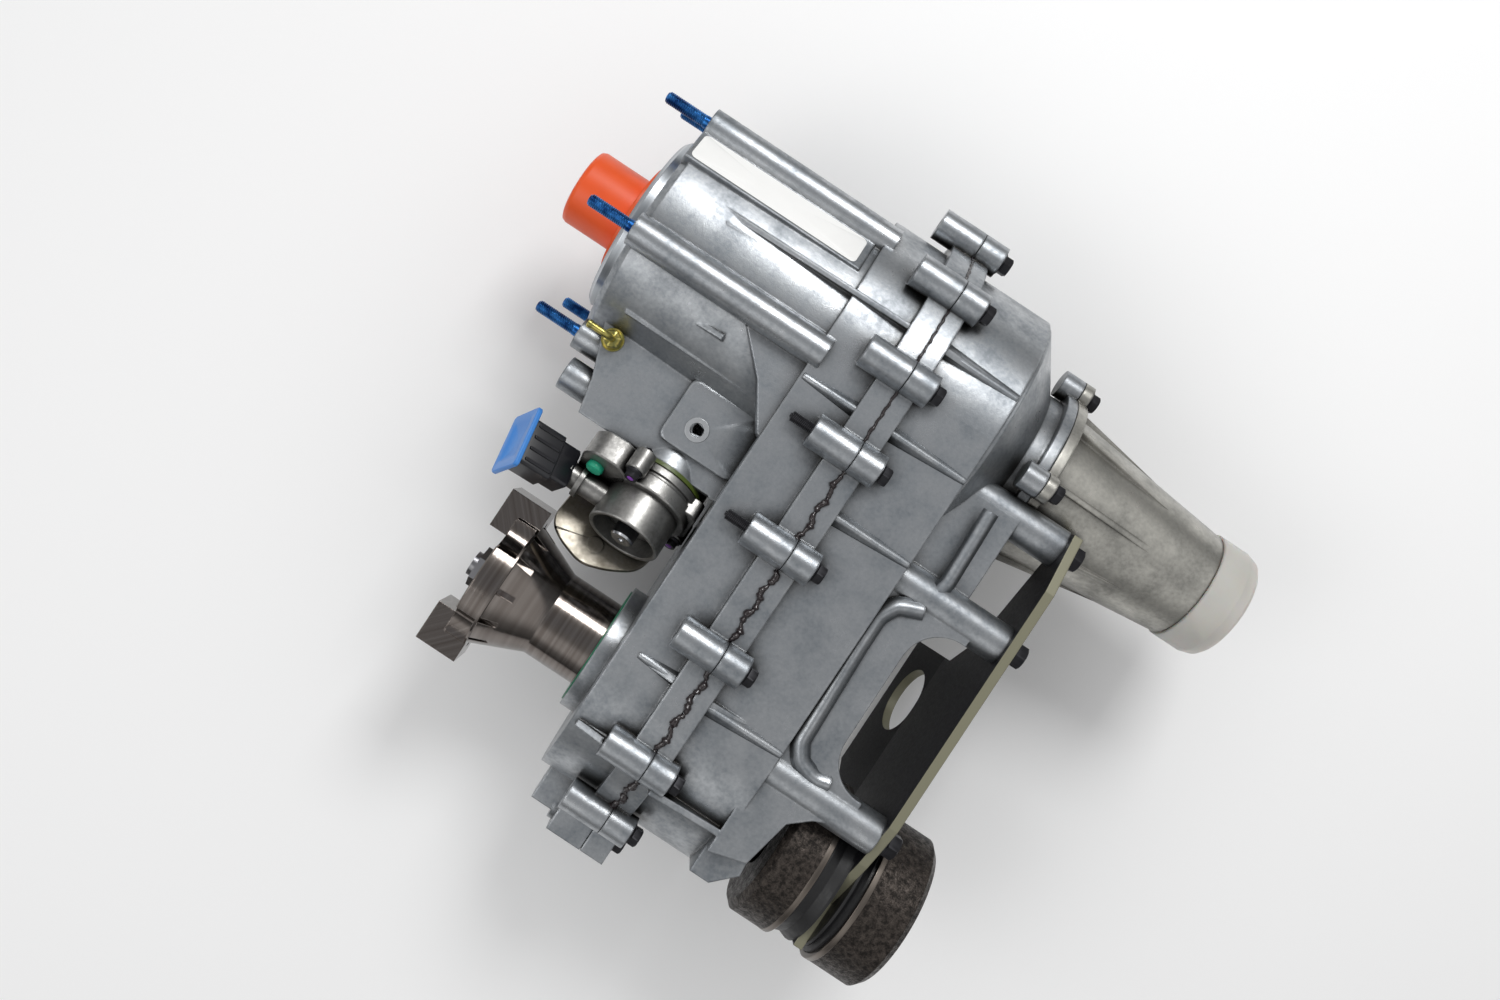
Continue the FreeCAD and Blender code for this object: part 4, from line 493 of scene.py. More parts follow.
upper_bolts = [(67, 97), (-1, 114), (-66, 112), (-146, 109), (-231, 106), (-322, 96.5), (-377, 58)]
case_bolts = [(121, 20), (-403, 0)] + upper_bolts + [(y, -z) for y, z in upper_bolts]
long_ones = (4, 5)
bolt_seat_x = 232.0 * mm
case_places = [(bolt_seat_x, y * mm, z * mm) for y, z in case_bolts]
short_places = [place for i, place in enumerate(case_places) if i not in long_ones]
long_places = [case_places[i] for i in long_ones]
tail_seat_x = 345.6 * mm
tail_circle_r = 74 * mm
tail_angles = [math.radians(5.5 + 90 * k) for k in range(4)]
tail_places = [(tail_seat_x, tail_circle_r * math.cos(a), tail_circle_r * math.sin(a)) for a in tail_angles]
arm_seat_x = 382 * mm
arm_places = [(arm_seat_x, y * mm, z * mm) for y, z in ((-37.2, 63.0), (-117.3, 79.0), (-277.9, 79.0))]

phosphate = phosphated_steel("steel_phosphated", "3A3A3E", "1E1E20")
short_forms = flanged_bolt(radius=4 * mm, length=48 * mm, flat=13 * mm, places=short_places)
short_bolts = grid_piece("case_flange_bolts", short_forms, phosphate, "casing")
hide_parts("case_bolts")
long_forms = flanged_bolt(radius=4 * mm, length=72 * mm, flat=13 * mm, places=long_places)
long_bolts = grid_piece("case_long_flange_bolts", long_forms, phosphate, "casing")
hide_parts("case_long_bolts")
tail_forms = flanged_bolt(radius=4 * mm, length=22 * mm, flat=13 * mm, places=tail_places)
tail_screws = grid_piece("tail_flange_bolts", tail_forms, phosphate, "casing")
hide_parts("tail_bolts")
arm_forms = flanged_bolt(radius=5 * mm, length=29 * mm, flat=17 * mm, places=arm_places)
bracket_screws = grid_piece("bracket_flange_bolts", arm_forms, phosphate, "casing")
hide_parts("bracket_bolts")
dress(phosphate, "damper_bolt", "filler_plug", "drain_plug")


# Front studs: zinc plated and passivated blue, with rolled threads, a plain collar at the root and a rounded
# tip. They screw into the front face round the pilot.
def passivated_zinc(name, light, dark, roughness):
    """Passivated zinc: a bright metal whose tint drifts over 8 mm, with a faint 1 mm ripple."""
    material, tree, shader = new_material(name, Metallic=1.0)
    place = add_node(tree, "TexCoord").outputs["Object"]
    tint = add_node(tree, "TexNoise", {"Vector": place, "Scale": 1 / 0.008, "Detail": 3.0})
    drift = add_node(tree, "MapRange", {"Value": tint.outputs["Fac"], "From Min": 0.35, "From Max": 0.65})
    colour = add_node(
        tree, "MixRGB", {"Fac": drift.outputs["Result"], "Color1": linear(dark), "Color2": linear(light)}
    )
    tree.links.new(colour.outputs["Color"], shader.inputs["Base Color"])
    polish = add_node(
        tree,
        "MapRange",
        {"Value": tint.outputs["Fac"], "To Min": roughness - 0.08, "To Max": roughness + 0.12},
    )
    tree.links.new(polish.outputs["Result"], shader.inputs["Roughness"])
    ripple = add_node(tree, "TexNoise", {"Vector": place, "Scale": 1 / 0.001, "Detail": 1.0})
    relief = add_node(
        tree, "Bump", {"Height": ripple.outputs["Fac"], "Strength": 0.1, "Distance": 0.1 * mm}
    )
    tree.links.new(relief.outputs["Normal"], shader.inputs["Normal"])
    return material


def threaded_stud(radius, reach, places, pitch=1.5 * mm, sides=32):
    """Points of equal studs that stand out towards the front from the given places on the face.

    From the rounded tip, whose radius follows a quarter circle, the stud is threaded down to a plain collar;
    the thread takes a triangle wave of the travel less the turn from the radius.
    """
    row_count = 190
    root = 2 * mm
    tip = 3 * mm
    tip_share = 0.35
    collar = 4 * mm
    run_out = 1 * mm
    depth = 0.5 * mm
    angle = np.linspace(0.0, 2 * math.pi, sides, endpoint=False)[None, :]
    along = np.linspace(-reach, root, row_count)[:, None]
    from_tip = np.clip((along + reach) / tip, 0.0, 1.0)
    dome = np.sqrt(1.0 - (1.0 - from_tip) ** 2)
    wave = np.abs((along / pitch - angle / (2 * math.pi)) % 1.0 * 2 - 1)
    threaded = np.clip((-collar - along) / run_out, 0.0, 1.0)
    radii = radius * (tip_share + (1 - tip_share) * dome) - depth * wave * threaded
    radii = np.concatenate([np.zeros_like(angle), radii, np.zeros_like(angle)])
    along = np.concatenate([along[:1], along, along[-1:]]) * np.ones_like(angle)
    form = np.stack([along, radii * np.cos(angle), radii * np.sin(angle)], axis=-1)
    return [np.asarray(place) + form for place in places]


stud_circle_r = 102 * mm
stud_angles = [math.radians(-50 + 60 * k) for k in range(6)]
stud_places = [(0.0, -stud_circle_r * math.sin(a), stud_circle_r * math.cos(a)) for a in stud_angles]
blue_zinc = passivated_zinc("zinc_passivated_blue", "3D7FC4", "16386E", 0.3)
stud_forms = threaded_stud(radius=4.75 * mm, reach=37 * mm, places=stud_places)
studs = grid_piece("threaded_studs", stud_forms, blue_zinc, "casing")
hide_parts("front_studs")


# Front retainer and the orange plug in it. The retainer is turned aluminium with lathe marks on its rim; the
# plug is moulded polyethylene, pushed in by hand to keep dirt out.
def turned_metal(name, light, dark, centre, roughness, line=0.35 * mm):
    """Turned metal: lathe lines that follow the distance from the axis plus the distance along it.

    The axis runs along X through the centre. Lines as far apart as the line size change the height, and
    streaks 4 mm wide change the tone.
    """
    material, tree, shader = new_material(name, Metallic=1.0, Roughness=roughness)
    place = add_node(tree, "TexCoord").outputs["Object"]
    moved = add_node(tree, "Mapping", {"Vector": place, "Location": tuple(-c for c in centre)})
    apart = add_node(tree, "SeparateXYZ", {"Vector": moved.outputs["Vector"]})
    flat = add_node(tree, "CombineXYZ", {"Y": apart.outputs["Y"], "Z": apart.outputs["Z"]})
    radius = add_node(tree, "VectorMath", {0: flat.outputs["Vector"]}, operation="LENGTH")
    travel = add_node(tree, "Math", {0: radius.outputs["Value"], 1: apart.outputs["X"]}, operation="ADD")
    streak = add_node(
        tree,
        "TexNoise",
        {"W": travel.outputs["Value"], "Scale": 1 / 0.004, "Detail": 3.0},
        noise_dimensions="1D",
    )
    colour = add_node(
        tree, "MixRGB", {"Fac": streak.outputs["Fac"], "Color1": linear(dark), "Color2": linear(light)}
    )
    tree.links.new(colour.outputs["Color"], shader.inputs["Base Color"])
    lines = add_node(
        tree,
        "TexNoise",
        {"W": travel.outputs["Value"], "Scale": 1 / line, "Detail": 2.0},
        noise_dimensions="1D",
    )
    rounded = add_node(tree, "Bevel", {"Radius": 0.8 * mm}, samples=6)
    relief = add_node(
        tree,
        "Bump",
        {
            "Height": lines.outputs["Fac"],
            "Strength": 0.12,
            "Distance": 0.1 * mm,
            "Normal": rounded.outputs["Normal"],
        },
    )
    tree.links.new(relief.outputs["Normal"], shader.inputs["Normal"])
    return material


def moulded_plastic(name, light, dark, roughness, edge=0.8 * mm, **sockets):
    """Moulded plastic: a soft change of tone over 20 mm, rounded edges and a 0.7 mm spark-eroded grain."""
    material, tree, shader = new_material(name, Roughness=roughness, **sockets)
    place = add_node(tree, "TexCoord").outputs["Object"]
    tone = add_node(tree, "TexNoise", {"Vector": place, "Scale": 1 / 0.020, "Detail": 2.0})
    colour = add_node(
        tree, "MixRGB", {"Fac": tone.outputs["Fac"], "Color1": linear(dark), "Color2": linear(light)}
    )
    tree.links.new(colour.outputs["Color"], shader.inputs["Base Color"])
    rounded = add_node(tree, "Bevel", {"Radius": edge}, samples=6)
    grain = add_node(tree, "TexNoise", {"Vector": place, "Scale": 1 / 0.0007, "Detail": 1.0})
    relief = add_node(
        tree,
        "Bump",
        {
            "Height": grain.outputs["Fac"],
            "Strength": 0.08,
            "Distance": 0.1 * mm,
            "Normal": rounded.outputs["Normal"],
        },
    )
    tree.links.new(relief.outputs["Normal"], shader.inputs["Normal"])
    return material


dress(turned_metal("aluminium_turned", "C4C8CC", "8D9297", (0.0, 0.0, 0.0), 0.28), "front_retainer")
dress(moulded_plastic("polyethylene_orange", "EA5A20", "DB4E18", 0.38, edge=2 * mm), "input_shipping_plug")


# Label: satin white paper with round corners, glued into a shallow seat that the die leaves on the front
# casting beside a boss.
def rounded_outline(length, width, corner, count=16):
    """Outline of a rectangle with round corners, as (along, across): a quarter circle at each corner."""
    turns = np.linspace(0.0, math.pi / 2, count)
    sides = []
    for k, (way_l, way_w) in enumerate(((1, 1), (-1, 1), (-1, -1), (1, -1))):
        angle = turns + k * math.pi / 2
        along = way_l * (length / 2 - corner) + corner * np.cos(angle)
        across = way_w * (width / 2 - corner) + corner * np.sin(angle)
        sides.append(np.stack([along, across], axis=-1))
    return np.concatenate(sides)


def flat_plate(outline, rows, middle, along, across):
    """Points of a plate: its outline is scaled by each row's share and lifted by its height.

    The plate lies in the plane of the along and across directions, and its height is along their product.
    """
    along = np.asarray(along, dtype=float)
    across = np.asarray(across, dtype=float)
    up = np.cross(along, across)
    centre = outline.mean(axis=0)
    share = np.array([share for share, _ in rows])[:, None, None]
    spread = centre + (outline - centre) * share
    height = np.array([lift for _, lift in rows])[:, None, None]
    return middle + spread[..., :1] * along + spread[..., 1:] * across + height * up


label_length = 137 * mm
label_width = 26 * mm
label_corner = 4 * mm
label_seat_r = 101.5 * mm
label_turn = math.radians(35)
label_out = np.array([0.0, math.sin(label_turn), math.cos(label_turn)])
label_across = np.array([0.0, math.cos(label_turn), -math.sin(label_turn)])
label_middle = np.array([71.5 * mm, 0.0, 0.0]) + label_seat_r * label_out
label_rows = [(0.0, 0.02 * mm), (0.99, 0.02 * mm), (1.0, 0.1 * mm), (0.995, 0.3 * mm), (0.0, 0.3 * mm)]
label_outline = rounded_outline(label_length, label_width, label_corner)
label_plate = flat_plate(label_outline, label_rows, label_middle, (1, 0, 0), label_across)
paper = moulded_plastic("label_paper_white", "F2F2F0", "ECECEA", 0.42, edge=0.2 * mm)
label = grid_piece("blank_label", [label_plate], paper, "casing")
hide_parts("case_label")


# Breather: a bent steel tube brazed to a banjo, and the hollow hexagon screw that holds it on the ledge at
# the front. Both are zinc plated and passivated yellow.
def bent_tube(route, radii, sides=20):
    """Points of a tube: a ring square to the route at each of its points, with that point's radius.

    The first direction of each ring is across the plane of the route, which lies in X and Z.
    """
    route = np.asarray(route, dtype=float)
    ahead = np.gradient(route, axis=0)
    ahead /= np.linalg.norm(ahead, axis=1, keepdims=True)
    side = np.broadcast_to([0.0, 1.0, 0.0], route.shape)
    other = np.cross(ahead, side)
    angle = np.linspace(0.0, 2 * math.pi, sides, endpoint=False)[:, None]
    ring = np.cos(angle) * side[:, None, :] + np.sin(angle) * other[:, None, :]
    return route[:, None, :] + np.asarray(radii)[:, None, None] * ring


vent_foot = np.array([26 * mm, -88 * mm, 57 * mm])
tube_r = 2.6 * mm
bead_r = 3.1 * mm
mouth_r = 2.2 * mm
bend_r = 9 * mm
bend_low = 8 * mm
pole_gap = 0.01 * mm
bend = np.linspace(0.0, math.pi / 2, 14)
rise = np.array([(0.0, 0.0, z) for z in np.linspace(4, 8, 4) * mm])
curve = np.stack([-bend_r * (1 - np.cos(bend)), 0 * bend, bend_low + bend_r * np.sin(bend)], axis=-1)
nozzle = curve[-1] + np.array([(-x, 0.0, 0.0) for x in np.linspace(1, 11, 12) * mm])
vent_route = vent_foot + np.concatenate([rise, curve[1:], nozzle])
vent_r = np.full(len(vent_route), tube_r)
vent_r[-4:-1] = bead_r
vent_r[-1] = mouth_r
vent_r = np.concatenate([[0.0], vent_r, [0.0]])
poles = [vent_route[:1] - [0, 0, pole_gap], vent_route[-1:] - [pole_gap, 0, 0]]
vent_route = np.concatenate([poles[0], vent_route, poles[1]])
yellow_zinc = passivated_zinc("zinc_passivated_yellow", "C9B866", "7F8152", 0.28)
tube = grid_piece("breather_tube", [bent_tube(vent_route, vent_r)], yellow_zinc, "casing")
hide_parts("vent_tube")


def banjo(sides=42):
    """Points of the banjo screw: a round washer, the round banjo and a hexagon whose corners a cone cuts.

    Each row has a height and a radius in millimetres. Above the banjo the hexagon's radius stands in for the
    row's wherever it is the smaller.
    """
    flat = 12 * mm
    banjo_top = 4.9 * mm
    washer_rows = [(-8, 0), (-8, 4), (0, 4), (0, 8.5), (1, 8.5), (1, 7.6)]
    head_rows = [(5, 7.6), (5, 9), (8.6, 9), (9.4, 5.6), (9.4, 0)]
    rows = np.array(washer_rows + head_rows) * mm
    angle = np.linspace(0.0, 2 * math.pi, sides, endpoint=False)[None, :]
    corner = np.where(rows[:, 0:1] > banjo_top, hexagon_r(angle, flat), np.inf)
    radii = np.minimum(rows[:, 1:2], corner)
    height = rows[:, 0:1] * np.ones_like(angle)
    return vent_foot + np.stack([radii * np.cos(angle), radii * np.sin(angle), height], axis=-1)


grid_piece("breather_banjo", [banjo()], yellow_zinc, "casing")


# Shift actuator: a small gearbox cast in browner aluminium, with its motor shaft in an open ring, a flat
# cover under the ring and an olive seal below. A ribbed black connector with a dished blue cap and a green
# port plug are on its front side, and three screws with purple inspection marks hold it.
# The last colour of each casting is the painted shade in its corners.
actuator_cast = blasted_casting("aluminium_actuator_cast", "A8A7A4", "767573", "262422", edge=1.0 * mm)
cover_cast = blasted_casting("aluminium_actuator_cover", "99948A", "726C60", "35312A", edge=0.8 * mm)
tilt = math.radians(25)
actuator_origin = np.array([110, -156, 30]) * mm
actuator_up = np.array([0.0, math.sin(tilt), math.cos(tilt)])
actuator_out = np.array([0.0, -math.cos(tilt), math.sin(tilt)])
along_x = np.array([1.0, 0.0, 0.0])


def on_actuator(across, up, out):
    """A place on the actuator in millimetres: across is along X, out is along its shaft."""
    return actuator_origin + across * mm * along_x + up * mm * actuator_up + out * mm * actuator_out


def plate_rows(thick, soft=0.06, edge=1.0):
    """Rows of a plate with softened edges: share of the outline and height, from its back to its front.

    The thickness and the edge's depth are in millimetres. The two faces are smaller by the soft share.
    """
    back = [(0.0, 0.0), (1.0 - soft, 0.0), (1.0, edge * mm)]
    return back + [(1.0, (thick - edge) * mm), (1.0 - soft, thick * mm), (0.0, thick * mm)]


def on_shaft(rows, across=0, up=0, count=48):
    """A form turned about the actuator's shaft direction, from rows of height and radius in millimetres."""
    return turned_form(rows, on_actuator(across, up, 0), actuator_out, along_x, count)


foot_rows = [(3, 0), (3, 35), (4, 36), (9.4, 36), (10, 34), (12, 34), (12.6, 35), (23, 35), (24, 34)]
foot_rows += [(24, 28.6), (37, 28.6), (37, 0)]
ring_rows = [(22, 25.5), (22, 29), (51, 29), (52, 28.2), (52, 26.3), (51.4, 25.5), (30, 25.5)]
ears = [(-18, 38), (32, -30), (-40, -18)]
ear_rows = [(3, 0), (3, 8), (19.2, 8), (20, 7.2), (20, 0)]
tower = soft_polygon([(-57, -10), (-20, -10), (-20, 29), (-30, 38), (-49, 37), (-57, 27)], 5)
lug = soft_polygon([(20, -24), (38, -24), (38, 22), (20, 22)], 6)
foot_place = on_actuator(0, 0, 3)
gearbox = [
    on_shaft(foot_rows),
    flat_plate(tower, plate_rows(thick=21), foot_place, along_x, actuator_up),
    flat_plate(lug, plate_rows(thick=15), foot_place, along_x, actuator_up),
]
gearbox += [on_shaft(ear_rows, across, up, count=28) for across, up in ears]
barrel_place = on_actuator(0, 0, 33)
barrel_rows = [(-64, 0), (-64, 10.5), (-58, 10.5), (-57.4, 9.6), (-27, 9.6), (-26, 0)]
collar_rows = [(-50, 0), (-50, 13), (-46, 13), (-46, 0)]
for rows in (barrel_rows, collar_rows):
    gearbox.append(turned_form(rows, barrel_place, along_x, actuator_out, count=32))
gear_case = grid_piece("actuator_gear_case", gearbox, actuator_cast, "casing")
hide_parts("actuator_gearbox")
ring = on_shaft(ring_rows)
grid_piece("actuator_open_ring", [ring], actuator_cast, "casing", along_closed=True)

shaft_rows = [(36.5, 0), (36.5, 13), (39, 13), (39, 9.2), (53, 9.2), (54.4, 7.9), (54.4, 2.2)]
shaft_rows += [(53.4, 1.6), (53.4, 0)]
shaft_steel = ground_steel("steel_motor_bright", "C2C4C8", "A0A2A6", 0.2)
motor = grid_piece("motor_shaft_end", [on_shaft(shaft_rows)], shaft_steel, "casing")
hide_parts("actuator_motor")

cover_shape = soft_polygon([(-50, 26), (30, 26), (24, 56), (6, 68), (-16, 76), (-40, 68), (-52, 58)], 9)
cover_place = on_actuator(0, -29.3, 0)
boss_rows = [(-29.6, 0), (-29.6, 7), (-28.5, 6.2), (-28.5, 0)]
cover_forms = [
    flat_plate(cover_shape, plate_rows(thick=5, soft=0.02), cover_place, along_x, actuator_out),
    turned_form(boss_rows, on_actuator(-14, 0, 58), actuator_up, along_x, count=32),
]
cover = grid_piece("gear_cover_plate", cover_forms, cover_cast, "casing")
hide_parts("actuator_cover")

ear_top = 20
screw_places = [on_actuator(across, up, ear_top) for across, up in ears]
screw_axes = (actuator_out, along_x, actuator_up)
screws = flanged_bolt(radius=3 * mm, length=22 * mm, flat=10 * mm, places=screw_places, axes=screw_axes)
actuator_screws = grid_piece("actuator_flange_screws", screws, phosphate, "casing")
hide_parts("actuator_bolts")
dress(moulded_rubber("seal_olive_rubber", "4C5A22", 0.35), "actuator_seal")

nylon = moulded_plastic("nylon_black", "1C1D22", "131317", 0.3, edge=0.6 * mm)
plug_length = 43 * mm
shell = soft_polygon([(-13, -18), (13, -18), (13, 18), (-13, 18)], 3)
shell_rows = [(0.0, 0.0), (0.97, 0.0), (1.0, 1 * mm), (1.0, 27 * mm), (0.86, 28 * mm), (0.86, 42 * mm)]
shell_rows += [(0.8, plug_length), (0.0, plug_length)]
rib_bar = soft_polygon([(-11, -1.1), (11, -1.1), (11, 1.1), (-11, 1.1)], 1.0, 5)
plug_lean = math.radians(25)
plug_axis = np.array([math.cos(plug_lean), 0.0, -math.sin(plug_lean)])
plug_up = actuator_up - (actuator_up @ plug_axis) * plug_axis
plug_up = plug_up / np.linalg.norm(plug_up)
plug_out = np.cross(plug_axis, plug_up)
connector_place = on_actuator(-60, -1, 33) - plug_length * plug_axis
plug_shell = [flat_plate(shell, shell_rows, connector_place, plug_up, plug_out)]
rib_middle = connector_place + 15 * mm * plug_axis + 11.6 * mm * plug_up
rib_rows = plate_rows(thick=2.6, soft=0.05, edge=0.5)
plug_ribs = [
    flat_plate(rib_bar, rib_rows, rib_middle + apart * mm * plug_out, plug_axis, -plug_out)
    for apart in (-13.5, -4.5, 4.5, 13.5)
]
connector = grid_piece("ribbed_connector", plug_shell + plug_ribs, nylon, "casing")
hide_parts("connector_body")

cap_rows = [(0.0, 0.0), (0.97, 0.0), (1.0, 0.6 * mm), (1.0, 3.2 * mm), (0.97, 3.9 * mm), (0.70, 3.9 * mm)]
cap_rows += [(0.62, 3.0 * mm), (0.42, 1.4 * mm), (0.0, 0.8 * mm)]
blue = moulded_plastic("polyethylene_blue", "3F86D2", "3478C4", 0.34)
cap_shape = rounded_outline(length=48 * mm, width=38 * mm, corner=3 * mm)
cap_form = flat_plate(cap_shape, cap_rows, connector_place, plug_out, plug_up)
blue_cap = grid_piece("dished_dust_cap", [cap_form], blue, "casing")
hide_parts("connector_cap")

green = moulded_plastic("port_plug_green", "22A884", "178A6A", 0.3)
plug_rows = [(24, 0), (24, 6.4), (27, 6.8), (28.6, 6.0), (29.6, 3.4), (29.8, 0)]
plug_form = on_shaft(plug_rows, across=-44, up=19, count=12)
port_plug = grid_piece("lobed_port_plug", [plug_form], green, "casing")
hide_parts("actuator_port_plug")

paint = moulded_plastic("inspection_paint_purple", "9048B8", "76389E", 0.35, edge=0.3 * mm)
dot_rows = [(26.0, 0), (26.0, 3.0), (26.5, 2.2), (26.7, 0)]
dots = [on_shaft(dot_rows, across, up, count=16) for across, up in ears]
grid_piece("paint_dots", dots, paint, "casing")


# Front output flange: forged steel, turned all over and oiled, so it mirrors the room in long bright bands. A
# plain steel nut holds it on its splined shaft.
front_axis = (0.0, front_y, 0.0)
flange_steel = turned_metal("steel_turned_oiled", "8E8884", "5C534D", front_axis, 0.14, line=0.5 * mm)
dress(flange_steel, "front_output_flange")
dress(oiled_steel, "flange_nut")


# Damper: a black-coated steel bracket, its faces darkened with painted shade and its edges painted olive as
# light on them, and two rough iron drums on rubber. The coat is thick and slightly orange-peeled; the drums
# are sand cast with turned edges.
def shaded_face_lit_edge_plate(name, shaded_coat_colour, lit_edge_colour):
    """Coated steel plate with painted light and shade: the faces that look along X take the dark coat colour
    with painted shade, and the edges take an olive colour as painted light.

    The share of the dark colour grows with the part of the face's normal along X. An orange peel 2 mm wide
    ripples the coat.
    """
    material, tree, shader = new_material(name, Metallic=0.2)
    place = add_node(tree, "TexCoord")
    # Painted light and shade by facing: faces along X get the dark coat colour with painted shade, and the
    # edges get olive painted light.
    apart = add_node(tree, "SeparateXYZ", {"Vector": place.outputs["Normal"]})
    facing = add_node(tree, "Math", {0: apart.outputs["X"]}, operation="ABSOLUTE")
    shaded_coat_share = add_node(tree, "MapRange", {"Value": facing.outputs["Value"], "From Min": 0.5, "From Max": 0.8})
    colour = add_node(
        tree,
        "MixRGB",
        {"Fac": shaded_coat_share.outputs["Result"], "Color1": linear(lit_edge_colour), "Color2": linear(shaded_coat_colour)},
    )
    tree.links.new(colour.outputs["Color"], shader.inputs["Base Color"])
    peel = add_node(tree, "TexNoise", {"Vector": place.outputs["Object"], "Scale": 1 / 0.002, "Detail": 2.0})
    gloss = add_node(tree, "MapRange", {"Value": peel.outputs["Fac"], "To Min": 0.3, "To Max": 0.55})
    tree.links.new(gloss.outputs["Result"], shader.inputs["Roughness"])
    rounded = add_node(tree, "Bevel", {"Radius": 1.2 * mm}, samples=6)
    relief = add_node(
        tree,
        "Bump",
        {
            "Height": peel.outputs["Fac"],
            "Strength": 0.2,
            "Distance": 0.2 * mm,
            "Normal": rounded.outputs["Normal"],
        },
    )
    tree.links.new(relief.outputs["Normal"], shader.inputs["Normal"])
    return material


def rough_iron(name, light, dark):
    """Sand-cast iron: lumps 4 mm wide and grit 1 mm wide, dark in the pits and bright on the tops."""
    material, tree, shader = new_material(name, Metallic=0.7)
    place = add_node(tree, "TexCoord").outputs["Object"]
    lumps = add_node(tree, "TexNoise", {"Vector": place, "Scale": 1 / 0.004, "Detail": 5.0, "Roughness": 0.6})
    grit = add_node(tree, "TexNoise", {"Vector": place, "Scale": 1 / 0.001, "Detail": 2.0})
    height = add_node(
        tree, "Math", {0: grit.outputs["Fac"], 1: 0.25, 2: lumps.outputs["Fac"]}, operation="MULTIPLY_ADD"
    )
    tops = add_node(tree, "MapRange", {"Value": height.outputs["Value"], "From Min": 0.5, "From Max": 0.8})
    colour = add_node(
        tree, "MixRGB", {"Fac": tops.outputs["Result"], "Color1": linear(dark), "Color2": linear(light)}
    )
    tree.links.new(colour.outputs["Color"], shader.inputs["Base Color"])
    polish = add_node(tree, "MapRange", {"Value": tops.outputs["Result"], "To Min": 0.55, "To Max": 0.3})
    tree.links.new(polish.outputs["Result"], shader.inputs["Roughness"])
    rounded = add_node(tree, "Bevel", {"Radius": 1.5 * mm}, samples=6)
    relief = add_node(
        tree,
        "Bump",
        {
            "Height": height.outputs["Value"],
            "Strength": 0.55,
            "Distance": 1.2 * mm,
            "Normal": rounded.outputs["Normal"],
        },
    )
    tree.links.new(relief.outputs["Normal"], shader.inputs["Normal"])
    return material


# Near-black faces: the coat and painted shade; olive edges: painted light.
dress(shaded_face_lit_edge_plate("steel_plate_coat_painted_shade_lit_edges", "17161A", "7C7A66"), "damper_bracket")
dress(rough_iron("iron_sand_cast", "4C4540", "1C1815"), "damper_front_weight", "damper_rear_weight")
dress(moulded_rubber("natural_rubber_black", "0F0F11", 0.45), "damper_front_rubber", "damper_rear_rubber")
damper_place = (0.0, -328.8 * mm, 20 * mm)
edge_bands = []
for low, high in ((352.5, 357.2), (390.8, 395.5)):
    band_rows = [(low, 58), (low, 61.2), (low + 0.4, 61.8), (high - 0.4, 61.8), (high, 61.2), (high, 58)]
    edge_bands.append(turned_form(band_rows, damper_place, (1, 0, 0), (0, 1, 0), count=96))
turned_edge = turned_metal("iron_turned_edge", "8A827A", "4E4742", damper_place, 0.3)
grid_piece("drum_turned_edges", edge_bands, turned_edge, "casing", along_closed=True)


# Transport cap on the tail: moulded in milky polyethylene, thin enough to let light through, and pushed
# over the tail's end by hand.
milky = moulded_plastic(
    "polyethylene_milky",
    "F4EFEA",
    "E8E2DB",
    0.32,
    edge=2.0 * mm,
    Transmission_Weight=0.55,
    Subsurface_Weight=0.25,
    Subsurface_Scale=0.01,
)
dress(milky, "output_shipping_cap")


# The stage: a pale floor, a bright ring of sky that leaves the zenith greyer, one soft key light and the
# photograph's camera. The camera looks straight down from about a metre above the case.
def floor_square(name, size, height, material):
    """A square piece of floor about the object."""
    middle = (0.17, -0.13)
    half = size / 2
    ways = ((-1, -1), (1, -1), (1, 1), (-1, 1))
    corners = [(middle[0] + x * half, middle[1] + y * half, height) for x, y in ways]
    mesh = bpy.data.meshes.new(name)
    mesh.from_pydata(corners, [], [(0, 1, 2, 3)])
    mesh.materials.append(material)
    piece = bpy.data.objects.new(name, mesh)
    bpy.context.collection.objects.link(piece)


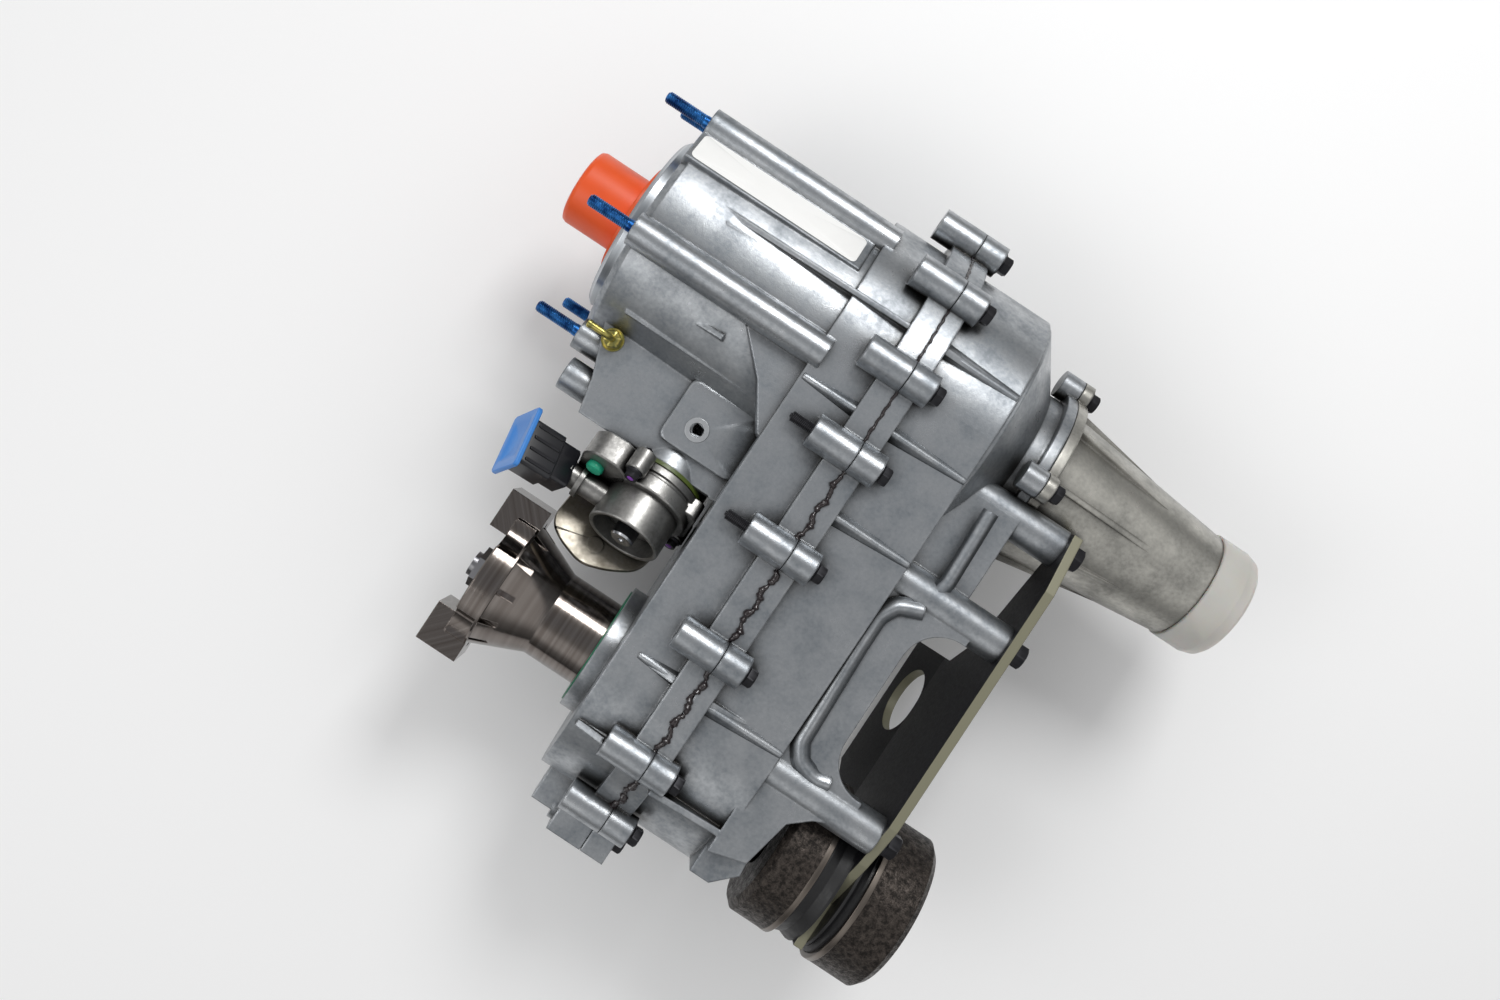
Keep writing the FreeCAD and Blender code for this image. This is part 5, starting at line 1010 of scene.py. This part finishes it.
def soft_light(name, place, target, size, power):
    """A square soft light aimed at a point."""
    lamp = bpy.data.lights.new(name, "AREA")
    lamp.size = size
    lamp.energy = power
    aim = np.subtract(target, place)
    aim = aim / np.linalg.norm(aim)
    piece = bpy.data.objects.new(name, lamp)
    piece.location = place
    piece.rotation_euler = (math.acos(-aim[2]), 0.0, math.atan2(-aim[0], aim[1]))
    bpy.context.collection.objects.link(piece)


floor_z = cad_box[0][2] - 2 * mm
pale = moulded_plastic("floor_paint_pale", "F3F3F3", "F3F3F3", 0.9)
floor_square("floor", size=9.0, height=floor_z, material=pale)
middle = (0.19, -0.13, 0.0)
soft_light("key", (0.15, 1.15, 1.5), middle, size=0.6, power=17)
soft_light("fill", (-0.8, -1.0, 1.6), middle, size=1.0, power=7)

world = bpy.data.worlds.new("studio")
world.use_nodes = True
sky = world.node_tree
direction = add_node(sky, "SeparateXYZ", {"Vector": add_node(sky, "TexCoord").outputs["Generated"]})
height = add_node(sky, "MapRange", {"Value": direction.outputs["Z"], "From Min": 0.0, "From Max": 1.0})
brightness = add_node(sky, "ValToRGB", {"Fac": height.outputs["Result"]})
stops = brightness.color_ramp.elements
stops[0].position = 0.0
stops[0].color = (0.10, 0.10, 0.10, 1.0)
stops[1].position = 1.0
stops[1].color = (0.40, 0.41, 0.43, 1.0)
for position, level in ((0.35, 0.35), (0.60, 1.0), (0.82, 0.95), (0.93, 0.46)):
    stop = stops.new(position)
    stop.color = (level, level, level, 1.0)
background = sky.nodes["Background"]
sky.links.new(brightness.outputs["Color"], background.inputs["Color"])
background.inputs["Strength"].default_value = 0.86
bpy.context.scene.world = world
bpy.context.scene.view_settings.view_transform = "Standard"

lens = bpy.data.cameras.new("photo_camera")
lens.sensor_width = 36.0
lens.lens = 32.4
photo_width = 1500
lens.shift_x = 55 / photo_width
lens.shift_y = -36.4 / photo_width
lens.clip_start = 0.01
camera = bpy.data.objects.new("photo_camera", lens)
camera.location = (0.1245, -0.1296, 1.029)
camera.rotation_euler = (0.0, 0.0, math.radians(33.5))
bpy.context.collection.objects.link(camera)
bpy.context.scene.camera = camera
